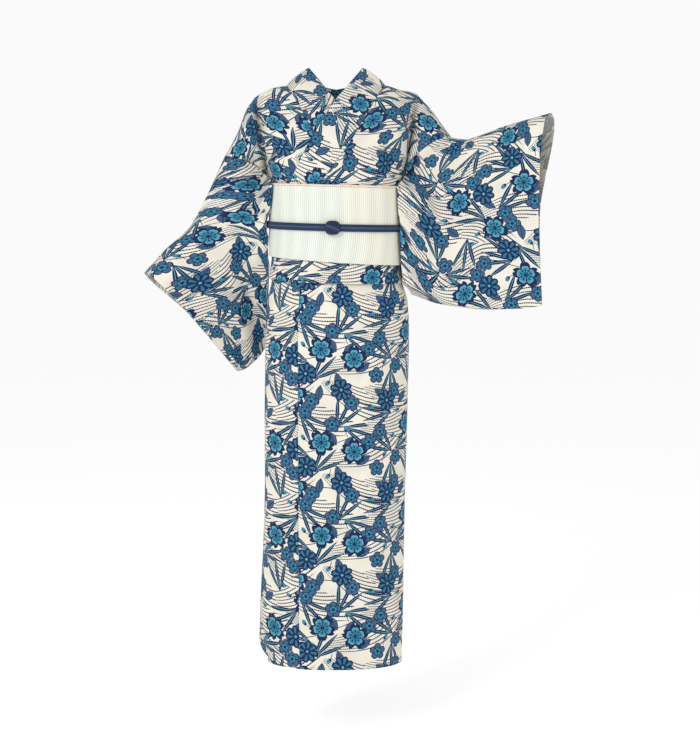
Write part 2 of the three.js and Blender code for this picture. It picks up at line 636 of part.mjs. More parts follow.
// Overlap panels: the narrow cloth between body panel and collar, from the chest to the tuck
const OVERLAP_HEIGHTS = [1135, 1112, 1082];
const OVERLAP_SHARES = [0, 0.25, 0.5, 0.75, 1];
const COLLAR_END_LEVEL = 980;
const HIDDEN_GAP_TURN = 0.004;
function overlapPanel(name, side) {
  const bodyTurn = side > 0 ? 0 : 1;
  const rows = side > 0 ? tuckedRows([YOKE_END, 1018, 980, 969, 958, 947, 936, 925]) : PLAIN_ROWS;
  const freeEdge = side > 0 ? SKIRT_SEAMS.outerEdge : SKIRT_SEAMS.innerEdge;
  const out = column(LAYERS, "bodice", bodyTurn);
  const turnAt = (x, height) => bodyTurn + turnOf(side * x, height, out);
  const first = turnAt(overlapX(sashLevelHeight(0, YOKE_END, 1)), YOKE_BOTTOM);
  const body = (level) => overlapTurn(level, first, side) - 2 * side * SEAM_TURN;
  const collarSide = (level) => {
    const height = sashLevelHeight(side * seamX(level), level, 1);
    return turnAt(seamX(height), height) + side * HIDDEN_GAP_TURN;
  };
  const free = (level) =>
    level >= COLLAR_END_LEVEL
      ? collarSide(level)
      : mix(collarSide(COLLAR_END_LEVEL), freeEdge, ease((COLLAR_END_LEVEL - level) / 55));
  const chestRows = OVERLAP_HEIGHTS.map((height) => {
    const [collarX, bodyX] = [seamX(height), overlapX(height) - SEAM_GAP];
    return OVERLAP_SHARES.map((share) => frontPoint(mix(collarX, bodyX, share), height, side));
  });
  const grid = [...chestRows, ...tuckGrid(rows, free, body, OVERLAP_SHARES)];
  piece(name, wall(grid, CLOTH), MATERIALS.print);
}
overlapPanel("overlap_left_body", 1);
overlapPanel("overlap_right_body", -1);

// Collar: one folded band from under the sash up the left front, round the back of the neck
// and down the right front, where it lies under the left one
const COLLAR_SHARES = [0, 0.3, 0.55, 0.8, 1];
const COLLAR_LIFT = 0.3;
const COLLAR_HEIGHTS = [
  COLLAR_END, 1017, 1050, 1080, 1110, 1141, 1172, 1203, 1230, 1254, 1270, 1284, 1293, 1298.4,
];
function collarStation(seam, free, natural, weight, bulge) {
  const width = Math.hypot(...free.map((v, k) => v - seam[k]));
  return COLLAR_SHARES.map((share) => {
    const t = mix((SEAM_GAP + 0.4) / width, 1, share);
    const chord = mixPoint(seam, free, t).map((v, k) => v + 4 * t * (1 - t) * bulge[k]);
    return weight < 1 ? mixPoint(natural(chord[0], chord[2]), chord, weight) : chord;
  });
}
function collarFront(height, side) {
  const seam = frontPoint(seamX(height), height, side);
  const freeHeight = height + COLLAR_RISE;
  const freeX = column(COLLAR_LINES, "free", freeHeight);
  const onChest = frontPoint(freeX, freeHeight, side);
  const lift = side > 0 ? overlay(freeHeight) : 0;
  const standing = [side * freeX, column(FREE_EDGE_DEPTH, "y", freeHeight) - lift, freeHeight];
  const free = freeHeight < 1250 ? onChest : standing;
  const weight = ease((freeHeight - 1235) / 40);
  const natural = (x, z) => frontPoint(side * x, z, side);
  const raised = ease((height - 1230) / 60);
  const bulge = [side * 3 * raised, mix(-5, -1, raised), 3 * raised];
  const laid = COLLAR_LIFT * (1 - raised);
  return collarStation(seam, free, natural, weight, bulge).map(([x, y, z]) => [x, y - laid, z]);
}
function collarBack({ at: roll, seamX: x, ...free }, side) {
  const seamHeight = rollHeight(x, roll, -1, side);
  const seam = [side * x, yokeDepth(x, seamHeight, side, -1), seamHeight];
  return collarStation(seam, [side * free.x, free.y, free.z], null, 1, [0, 3, 0]);
}
const collarHalf = (side) => [
  ...COLLAR_HEIGHTS.map((height) => collarFront(height, side)),
  ...COLLAR_BACK.slice(0, -1).map((row) => collarBack(row, side)),
];
piece(
  "collar",
  wall([...collarHalf(1), collarBack(COLLAR_BACK.at(-1), 1), ...collarHalf(-1).reverse()], COLLAR_CLOTH),
  MATERIALS.print,
);

// Sash: one band wound twice, stepping over its own end behind
const sashOut = (turn) =>
  SASH_OUT.inner +
  SASH_OUT.step * (ease((turn - SASH_OUT.from) / SASH_OUT.over) + ease((turn - 1 - SASH_OUT.from) / SASH_OUT.over));
const sashTurns = spread(-0.5, 1.5, 88);
const sashRows = [SASH_TOP, (SASH_TOP + SASH_BOTTOM) / 2, SASH_BOTTOM].map((level) =>
  sashTurns.map((turn) => sashPoint(turn, level, sashOut(turn))),
);
piece("sash", wall(sashRows, SASH_CLOTH), MATERIALS.sash);

// Drum knot: the sash's end laid over a pad's shape, folded in below and hanging as a tail
const drumRows = DRUM_PROFILE.map(([out, height]) =>
  spread(-1, 1, 8).map((across) => [across * DRUM_HALF_WIDTH, out - DRUM_CURVE * across * across, height]),
);
piece("sash_drum", wall(drumRows, SASH_CLOTH), MATERIALS.sash);

// Cord: a flat braid round the sash and through the drum, in two ends that meet at its knot
function cordPoint(turn, level) {
  const front = sashPoint(turn, level, CORD.out);
  if (front[1] < 0) return front;
  const lean = column(BODY, "lean", level);
  const wide = column(BODY, "wide", level) + CORD.out;
  const deep = CORD.back;
  const angle = Math.atan2(front[1] / deep, Math.abs(front[0] - lean) / wide);
  const [across, back] = [Math.cos(angle), Math.sin(angle)];
  const squared = across ** CORD.squareness + back ** CORD.squareness;
  const radius = squared ** (-1 / CORD.squareness);
  return [lean + Math.sign(front[0]) * wide * across * radius, deep * back * radius, front[2]];
}
const knotTurn = (x) => turnOf(x, CORD.level, CORD.out);
const cordEnds = [CORD.knotX + CORD.knotHalf, CORD.knotX - CORD.knotHalf].map(knotTurn);
const cordTurns = spread(cordEnds[0], 1 + cordEnds[1], 64);
const cordLevels = [0.5, 0, -0.5].map((share) => CORD.level + share * CORD.high);
piece(
  "cord",
  wall(cordLevels.map((level) => cordTurns.map((turn) => cordPoint(turn, level))), CORD.thick),
  MATERIALS.cord,
);

// The cord's knot: a plump square crossing, marked by the end that passes over it
const knotShape = new THREE.SphereGeometry(1, 20, 14);
const knotPositions = knotShape.attributes.position;
for (let i = 0; i < knotPositions.count; i++) {
  const [x, y, z] = [knotPositions.getX(i), knotPositions.getY(i), knotPositions.getZ(i)];
  const plump = (x ** 4 + y ** 4 + z ** 4) ** -0.25;
  const groove = 1 - 0.14 * Math.exp(-(((x * 0.8 + z) * 3) ** 2)) * clamp(-y * 1.5);
  const knotX = x * plump * (CORD.knotHalf - SEAM_GAP);
  const knotY = y * plump * groove * CORD.knotDeep;
  knotPositions.setXYZ(i, knotX, knotY, z * plump * CORD.knotHigh);
}
knotShape.deleteAttribute("normal");
knotShape.deleteAttribute("uv");
const knotCentre = sashPoint(turnOf(CORD.knotX, CORD.level, CORD.knotOut), CORD.level, CORD.knotOut);
knotShape.translate(...knotCentre);
piece("cord_knot", knotShape, MATERIALS.cord);

// Scarf: the rolled edge of the pad's cover, seen along the sash's top edge
function roll(path, section) {
  const level = SASH_TOP + SEAM_GAP + SCARF.high;
  const rings = path.map((turn) =>
    section.map(([out, up]) => sashPoint(turn, level + up, SCARF.out + out)),
  );
  const around = section.length;
  const positions = rings.flat(2);
  const faces = [];
  for (let i = 0; i < rings.length - 1; i++)
    for (let j = 0; j < around; j++) {
      const [a, b] = [i * around + j, i * around + ((j + 1) % around)];
      faces.push(a, a + around, b, b, a + around, b + around);
    }
  const last = (rings.length - 1) * around;
  for (let j = 1; j < around - 1; j++) faces.push(0, j, j + 1, last, last + j + 1, last + j);
  const geometry = new THREE.BufferGeometry();
  geometry.setAttribute("position", new THREE.Float32BufferAttribute(positions, 3));
  geometry.setIndex(faces);
  return geometry;
}
const scarfSection = steps(SCARF.sides)
  .slice(1)
  .map((t) => [SCARF.deep * Math.cos(2 * Math.PI * t), SCARF.high * Math.sin(2 * Math.PI * t)]);
piece("scarf", roll(spread(-SCARF.turns, SCARF.turns, 22), scarfSection), MATERIALS.scarf);

export default garment;
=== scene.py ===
import bpy
import numpy as np
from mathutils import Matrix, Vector


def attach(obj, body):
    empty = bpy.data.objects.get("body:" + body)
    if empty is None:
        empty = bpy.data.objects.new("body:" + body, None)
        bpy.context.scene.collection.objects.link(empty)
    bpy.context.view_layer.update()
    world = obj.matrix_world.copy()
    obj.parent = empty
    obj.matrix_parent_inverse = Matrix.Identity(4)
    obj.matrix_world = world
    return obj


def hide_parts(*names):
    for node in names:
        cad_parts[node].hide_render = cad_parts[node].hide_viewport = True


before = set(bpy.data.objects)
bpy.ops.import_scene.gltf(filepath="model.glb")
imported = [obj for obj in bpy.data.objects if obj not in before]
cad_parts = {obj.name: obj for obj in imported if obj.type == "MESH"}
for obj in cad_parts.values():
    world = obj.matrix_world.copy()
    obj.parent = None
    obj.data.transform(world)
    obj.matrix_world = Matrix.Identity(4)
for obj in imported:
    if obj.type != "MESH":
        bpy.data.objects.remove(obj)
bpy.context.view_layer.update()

# Camera: level, straight in front of the garment, a little right of its middle.
CAMERA_DISTANCE = 2.812
CAMERA_X = 0.032
CAMERA_Z = -0.502
LENS_MM = 59.5
FRAME_SHIFT = (0.0, -0.0853)
camera_data = bpy.data.cameras.new("camera")
camera_data.sensor_width = 36
camera_data.sensor_fit = "AUTO"
camera_data.lens = LENS_MM
camera_data.shift_x, camera_data.shift_y = FRAME_SHIFT
camera = bpy.data.objects.new("camera", camera_data)
camera.location = (CAMERA_X, -CAMERA_DISTANCE, CAMERA_Z)
camera.rotation_euler = (np.pi / 2, 0, 0)
bpy.context.collection.objects.link(camera)
bpy.context.scene.camera = camera

# Studio: a pale floor below the hem, lit by a large soft key lamp from the upper left and a
# wide fill from the right, in even white surroundings that look as bright as the far floor.
HEM_Z, FLOOR_GAP = -1.29, 0.16  # the hem hangs clear of the floor
FLOOR_Z = HEM_Z - FLOOR_GAP
FLOOR_HALF_WIDTH = 40.0
FLOOR_COLOUR, FLOOR_GLOW = 0.93, 0.38
WORLD_LIGHT = 0.62
CORNERS = ((-1, -1), (1, -1), (1, 1), (-1, 1))
floor_corners = [(x * FLOOR_HALF_WIDTH, y * FLOOR_HALF_WIDTH, FLOOR_Z) for x, y in CORNERS]
floor_mesh = bpy.data.meshes.new("floor")
floor_mesh.from_pydata(floor_corners, [], [(0, 1, 2, 3)])
floor = bpy.data.objects.new("floor", floor_mesh)
bpy.context.collection.objects.link(floor)
floor_material = bpy.data.materials.new("floor")
floor_material.use_nodes = True
floor_shader = floor_material.node_tree.nodes["Principled BSDF"]
floor_shader.inputs["Base Color"].default_value = (FLOOR_COLOUR, FLOOR_COLOUR, FLOOR_COLOUR, 1)
floor_shader.inputs["Roughness"].default_value = 0.9
floor_shader.inputs["Specular IOR Level"].default_value = 0.0
floor_shader.inputs["Emission Color"].default_value = (1, 1, 1, 1)
floor_shader.inputs["Emission Strength"].default_value = FLOOR_GLOW
floor.data.materials.append(floor_material)


def lamp(name, location, target, size, watts):
    """A square soft lamp that faces the target point."""
    data = bpy.data.lights.new(name, "AREA")
    data.size = size
    data.energy = watts
    holder = bpy.data.objects.new(name, data)
    holder.location = location
    holder.rotation_euler = (Vector(target) - Vector(location)).to_track_quat("-Z", "Y").to_euler()
    bpy.context.collection.objects.link(holder)


lamp("key", (-1.9, -2.6, 1.1), (0, 0, -0.5), 1.6, 46)
lamp("fill", (2.4, -2.4, 0.4), (0, 0, -0.5), 2.0, 16)
world = bpy.data.worlds.new("surroundings")
world.use_nodes = True
world_background = world.node_tree.nodes["Background"]
world_background.inputs["Color"].default_value = (1, 1, 1, 1)
world_seen = world.node_tree.nodes.new("ShaderNodeMapRange")
world_seen.inputs["To Min"].default_value = WORLD_LIGHT
world_seen.inputs["To Max"].default_value = WORLD_LIGHT * FLOOR_COLOUR + FLOOR_GLOW
world_ray = world.node_tree.nodes.new("ShaderNodeLightPath")
world.node_tree.links.new(world_ray.outputs["Is Camera Ray"], world_seen.inputs["Value"])
world.node_tree.links.new(world_seen.outputs["Result"], world_background.inputs["Strength"])
bpy.context.scene.world = world
bpy.context.scene.view_settings.view_transform = "Standard"

# Wrapped skirt: six panels of thin printed cotton on one spiral round the body, the left
# front over the right. The overlap's lower corner is drawn up, as a well-worn wrap is.
SHOULDER_HEIGHT = 1290
CLOTH = 0.9
SEAM_GAP = 0.3
SQUARENESS = 2.3
BODY = dict(
    at=[0, 140, 365, 600, 720, 806, 855, 905, 990, 1090],
    lean=[-3.5, -3, -1, 2, 4, 5, 3, 2, 1, 0],
    wide=[151, 152.5, 156, 159.5, 160, 156.5, 145, 138, 137, 137.5],
    deep=[90, 94, 102, 112, 118, 119, 113, 106, 105, 105],
)
LAYERS = dict(
    at=[-0.28, 0, 0.235, 0.5, 0.765, 1, 1.28],
    skirt=[3.2, 2.0, 1.0, 0, -1.3, -2.3, -3.4],
    fold=[8.2, 7.4, 4.4, 3.2, 2.8, 2.8, 2.8],
    pouch=[10.2, 9.4, 6.4, 5.2, 4.8, 4.8, 4.8],
    bodice=[8.0, 8.0, 6.2, 4.8, 4.4, 3.0, 3.0],
)
SASH_TOP, SASH_BOTTOM = 1070, 905
TUCK_BOTTOM = 859
SKIRT_TOP = 878
SIDE_SLOPE, FRONT_SLOPE = -0.025, 0.1
OUTER_EDGE, OUTER_OVERLAP, LEFT_SIDE, BACK_SEAM = -0.244, -0.095, 0.235, 0.5
RIGHT_SIDE, INNER_OVERLAP, INNER_EDGE = 0.753, 1.095, 1.24
HEM_RISE = 46
EDGE_FLARE = 15
GIRTH = 840


def smooth(at, xs, values):
    """A curve through the values at the places xs that never swings past them: cubic pieces
    whose slope at each place is the harmonic mean of the slopes on either side."""
    widths = [after - before for before, after in zip(xs, xs[1:])]
    slopes = [(after - before) / width for before, after, width in zip(values, values[1:], widths)]
    bends = [slopes[0]]
    for before, after in zip(slopes, slopes[1:]):
        agree = before * after > 0
        bends.append(np.where(agree, 2 * before * after / np.where(agree, before + after, 1), 0))
    bends.append(slopes[-1])
    result = values[0]
    for k, width in enumerate(widths):
        t = np.clip((at - xs[k]) / width, 0, 1)
        swing = width * t * (1 - t) * (bends[k] * (1 - t) - bends[k + 1] * t)
        stretch = values[k] * (1 + 2 * t) * (1 - t) ** 2 + values[k + 1] * t * t * (3 - 2 * t) + swing
        result = np.where(at >= xs[k], stretch, result)
    return result


def column(table, name, at):
    return smooth(at, table["at"], table[name])


def ease(t):
    t = np.clip(t, 0, 1)
    return t * t * (3 - 2 * t)


def mix(a, b, t):
    return a + (b - a) * t


ARC_STEPS = 60
ARC_ANGLES = np.linspace(0, np.pi / 2, ARC_STEPS + 1)


def quarter_arc(wide, deep):
    """A quarter of the body's rounded section, from its front centre to its side: x, y and the
    length so far at each step."""
    xs = wide[..., None] * np.sin(ARC_ANGLES) ** (2 / SQUARENESS)
    ys = deep[..., None] * np.abs(np.cos(ARC_ANGLES)) ** (2 / SQUARENESS)
    lengths = np.cumsum(np.hypot(np.diff(xs), np.diff(ys)), axis=-1)
    return xs, ys, np.concatenate([np.zeros(lengths.shape[:-1] + (1,)), lengths], axis=-1)


def body_point(turn, height, out):
    """Points on the body's rounded section: x and y follow a superellipse, by turns measured
    along its edge from the front centre, at the height and distance out from the body."""
    turn, height, out = np.broadcast_arrays(turn, height, out)
    wide, deep = column(BODY, "wide", height) + out, column(BODY, "deep", height) + out
    quarters = np.mod(turn, 1) * 4
    quarter = np.minimum(np.floor(quarters), 3)
    share = np.where(quarter % 2 == 1, 1 - (quarters - quarter), quarters - quarter)
    xs, ys, lengths = quarter_arc(wide, deep)
    wanted = share * lengths[..., -1]
    k = np.clip((lengths < wanted[..., None]).sum(-1) - 1, 0, ARC_STEPS - 1)[..., None]

    def ends(values):
        return (np.take_along_axis(values, k + step, -1)[..., 0] for step in (0, 1))

    low, high = ends(lengths)
    t = (wanted - low) / (high - low)
    x, y = (mix(*ends(values), t) for values in (xs, ys))
    x = column(BODY, "lean", height) + np.where(quarter < 2, x, -x)
    y = np.where((quarter == 0) | (quarter == 3), -y, y)
    return np.stack([x, y, height], -1)


def sash_point(turn, level, out):
    """A level line of the sash: it dips towards the front and the raised sleeve."""
    flat = body_point(turn, level, out)
    return body_point(turn, level + SIDE_SLOPE * flat[..., 0] + FRONT_SLOPE * flat[..., 1], out)


def lengths_of(grid):
    """Flat cloth places of a grid's points, in metres: the way across is the length along
    each row from its first column, the way along is the length down each column."""
    across = np.linalg.norm(np.diff(grid, axis=1), axis=-1).cumsum(1)
    along = np.linalg.norm(np.diff(grid, axis=0), axis=-1).cumsum(0)
    across = np.concatenate([np.zeros((len(grid), 1)), across], 1)
    along = np.concatenate([np.zeros((1, grid.shape[1])), along], 0)
    along = along.mean(1, keepdims=True) + np.zeros_like(along)
    return np.stack([across, along], -1) * 0.001


def normals_of(grid):
    across = np.gradient(grid, axis=1)
    down = np.gradient(grid, axis=0)
    normal = np.cross(across, down)
    return normal / np.maximum(np.linalg.norm(normal, axis=-1, keepdims=True), 1e-9)


def unit(vectors):
    return vectors / np.linalg.norm(vectors, axis=-1, keepdims=True)


def creased(grid, flat, folds):
    """Moves a grid along its normals by soft ridges (deep > 0) and troughs (deep < 0). Each
    fold runs between two flat places in metres, fades at its ends and across its width."""
    moved = np.zeros(grid.shape[:2])
    for (ax, ay), (bx, by), width, deep in folds:
        start, run = np.array([ax, ay]), np.array([bx - ax, by - ay])
        t = ((flat - start) @ run) / (run @ run)
        nearest = start + np.clip(t, 0, 1)[..., None] * run
        aside = np.linalg.norm(flat - nearest, axis=-1) / width
        moved += deep * np.exp(-aside * aside) * ease(np.minimum(t, 1 - t) * 3 + 0.25)
    return grid + normals_of(grid) * moved[..., None]


def finer(grid, rows, columns):
    """The same surface with each stretch between rows and columns divided."""
    for pieces in (rows, columns):
        last = len(grid) - 1
        at = np.linspace(0, last, last * pieces + 1)[:, None, None]
        grid = smooth(at, range(last + 1), grid).swapaxes(0, 1)
    return grid


def in_metres(grid):
    return grid.reshape(-1, 3) * 0.001 - [0, 0, SHOULDER_HEIGHT * 0.001]


def placed(name, mesh, materials):
    """A piece in the scene from its mesh and materials."""
    made = bpy.data.objects.new(name + "_visual", mesh)
    bpy.context.collection.objects.link(made)
    for material in materials:
        mesh.materials.append(material)
    return made


def cloth(name, nodes, grid, flat, materials, thick=CLOTH):
    """A sheet from a grid of points in millimetres, with its flat places as its UV map, given
    its thickness by a modifier. The second material is the side that faces in."""
    rows, columns = grid.shape[:2]
    points = in_metres(grid)
    index = np.arange(rows * columns).reshape(rows, columns)
    faces = [index[:-1, :-1], index[:-1, 1:], index[1:, 1:], index[1:, :-1]]
    faces = np.stack(faces, -1).reshape(-1, 4)
    mesh = bpy.data.meshes.new(name)
    mesh.vertices.add(len(points))
    mesh.vertices.foreach_set("co", points.ravel())
    mesh.loops.add(faces.size)
    mesh.loops.foreach_set("vertex_index", faces.ravel())
    mesh.polygons.add(len(faces))
    mesh.polygons.foreach_set("loop_start", np.arange(0, faces.size, 4))
    mesh.polygons.foreach_set("loop_total", np.full(len(faces), 4))
    mesh.polygons.foreach_set("use_smooth", np.ones(len(faces), bool))
    flat_places = flat.reshape(-1, 2)[faces.ravel()]
    mesh.uv_layers.new(name="cloth").data.foreach_set("uv", flat_places.ravel())
    mesh.update(calc_edges=True)
    mesh.validate()
    made = placed(name, mesh, materials)
    thickness = made.modifiers.new("thickness", "SOLIDIFY")
    thickness.thickness = thick * 0.001
    thickness.offset = 0
    thickness.use_even_offset = False
    thickness.material_offset = len(materials) - 1
    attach(made, "root")
    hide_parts(*nodes)
    return made


class Value:
    """A number in a shader. Arithmetic on it adds one Math node for each step."""

    def __init__(self, graph, socket):
        self.graph, self.socket = graph, socket

    def math(self, operation, *others):
        return self.graph.node("ShaderNodeMath", {"operation": operation}, self, *others)

    def __add__(self, other):
        return self.math("ADD", other)

    def __sub__(self, other):
        return self.math("SUBTRACT", other)

    def __rsub__(self, other):
        return self.graph.node("ShaderNodeMath", {"operation": "SUBTRACT"}, other, self)

    def __mul__(self, other):
        return self.math("MULTIPLY", other)

    def __truediv__(self, other):
        return self.math("DIVIDE", other)

    def __pow__(self, other):
        return self.math("POWER", other)

    def __lt__(self, other):
        return self.math("LESS_THAN", other)

    def __gt__(self, other):
        return self.math("GREATER_THAN", other)

    def __abs__(self):
        return self.math("ABSOLUTE")

    __radd__, __rmul__ = __add__, __mul__


class Graph:
    """The nodes of one material. node() adds one: its type, its settings, then its inputs in
    order, each a number, a vector or another node's output."""

    def __init__(self, name):
        self.material = bpy.data.materials.new(name)
        self.material.use_nodes = True
        self.tree = self.material.node_tree
        self.shader = self.tree.nodes["Principled BSDF"]

    def node(self, kind, settings, *inputs, output=0):
        made = self.tree.nodes.new(kind)
        for key, value in settings.items():
            setattr(made, key, value)
        sockets = [socket for socket in made.inputs if socket.enabled]
        for socket, value in zip(sockets, inputs):
            self.put(socket, value)
        return Value(self, [socket for socket in made.outputs if socket.enabled][output])

    def put(self, socket, value):
        if isinstance(value, Value):
            self.tree.links.new(value.socket, socket)
        elif value is not None:
            socket.default_value = value

    def vector(self, operation, *inputs, output=0):
        return self.node("ShaderNodeVectorMath", {"operation": operation}, *inputs, output=output)

    def blend(self, share, a, b, kind="RGBA"):
        return self.node("ShaderNodeMix", {"data_type": kind}, share, a, b)

    def parts(self, vector):
        x = self.node("ShaderNodeSeparateXYZ", {}, vector)
        return x, Value(self, x.socket.node.outputs["Y"])

    def place(self, map_name):
        """The flat place on the cloth, in millimetres."""
        return self.vector("SCALE", self.node("ShaderNodeUVMap", {"uv_map": map_name}), 1000)

    def nearest(self, place, spots, repeat, longness=1.0):
        """The place seen from the nearest of a motif's spots (x, y, turn), which repeat over
        the cloth. longness is the motif's length over its width."""
        half = (repeat[0] / 2, repeat[1] / 2, 1)
        best, best_far = None, None
        for x, y, turn in spots:
            away = self.vector("SUBTRACT", place, (x, y, 0))
            away = self.vector("WRAP", away, half, (-half[0], -half[1], -1))
            local = self.node("ShaderNodeVectorRotate", {"rotation_type": "Z_AXIS"}, away, None, -turn)
            squeezed = away
            if longness != 1.0:
                squeezed = self.vector("MULTIPLY", local, (1 / longness, 1, 1))
            far = self.vector("LENGTH", squeezed)
            if best is None:
                best, best_far = local, far
            else:
                best = self.blend(far < best_far, best, local, "VECTOR")
                best_far = best_far.math("MINIMUM", far)
        return best

    def polar(self, place):
        """How far off a place is from the middle of its motif, and in which direction."""
        x, y = self.parts(place)
        return self.vector("LENGTH", place), y.math("ARCTAN2", x)

    def finished(self, colour, roughness, sheen, specular=0.5, threads=None, strength=0, height=0):
        """Gives the material its colour and gloss, and a bump of fine threads if they are
        given: their pattern, the bump's strength and its height in metres."""
        shader = self.shader.inputs
        self.put(shader["Base Color"], colour)
        shader["Roughness"].default_value = roughness
        shader["Specular IOR Level"].default_value = specular
        shader["Sheen Weight"].default_value = sheen
        if threads is not None:
            bump = self.tree.nodes.new("ShaderNodeBump")
            bump.inputs["Strength"].default_value = strength
            bump.inputs["Distance"].default_value = height
            self.put(bump.inputs["Height"], threads)
            self.put(shader["Normal"], Value(self, bump.outputs[0]))
        return self.material


# The print: five inks on ivory cotton. Thin branches, sprays of sword leaves, toothed streams,
# notched, rayed and small blossoms, veined leaves and buds are laid over one another, and the
# whole layout comes round again along and across the cloth.
IVORY, SHADE = (0.82, 0.775, 0.665, 1), (0.74, 0.705, 0.61, 1)
NAVY, SLATE = (0.009, 0.023, 0.080, 1), (0.058, 0.140, 0.245, 1)
TEAL, PALE_TEAL = (0.040, 0.240, 0.350, 1), (0.120, 0.385, 0.480, 1)
DEEP_TEAL = (0.036, 0.165, 0.270, 1)
REPEAT = (352, 204)
STREAMS = [
    (70, 40, 0.30), (215, 24, -0.35), (150, 100, 0.12), (316, 110, -0.25), (60, 150, -0.45),
    (236, 172, 0.38), (140, 158, -0.15),
]
SPRAYS = [
    (104, 60, 2.5), (176, 56, 0.4), (214, 130, 3.7), (300, 96, 5.5), (20, 124, 1.1), (262, 36, 2.9),
    (330, 20, 0.8), (128, 186, 4.7), (54, 84, 6.0), (190, 12, 1.8), (270, 190, 0.2), (96, 118, 3.4),
]
VEINED = [
    (62, 22, 0.6), (102, 168, 2.5), (226, 84, 5.2), (250, 112, 0.4), (346, 70, 2.1), (8, 196, 5.0),
    (166, 158, 3.9), (318, 168, 1.4), (30, 60, 4.1),
]
BUDS = [
    (112, 34, 0.9), (150, 128, 3.4), (282, 70, 2.2), (24, 90, 1.5), (208, 196, 0.3), (336, 190, 4.0),
    (80, 140, 5.7), (300, 22, 2.6), (160, 62, 5.1), (136, 74, 0.8), (222, 178, 2.9),
]
SMALL = [
    (74, 62, 0.5), (214, 62, 0.1), (346, 100, 0.3), (140, 172, 0.7), (300, 150, 1.2), (100, 84, 0.9),
    (232, 40, 0.6), (286, 128, 0.4), (36, 148, 0.2), (144, 24, 0.8), (92, 4, 0.3),
]
RAYED = [(240, 90, 0.9), (14, 176, 0.5), (118, 152, 0.2), (288, 6, 0.6)]
NOTCHED = [(42, 40, 0.3), (184, 96, 0.7), (262, 164, 0.2), (322, 60, 0.9)]
FIVE, EIGHT = np.pi / 5, np.pi / 8  # half a petal's turn in a blossom of so many petals


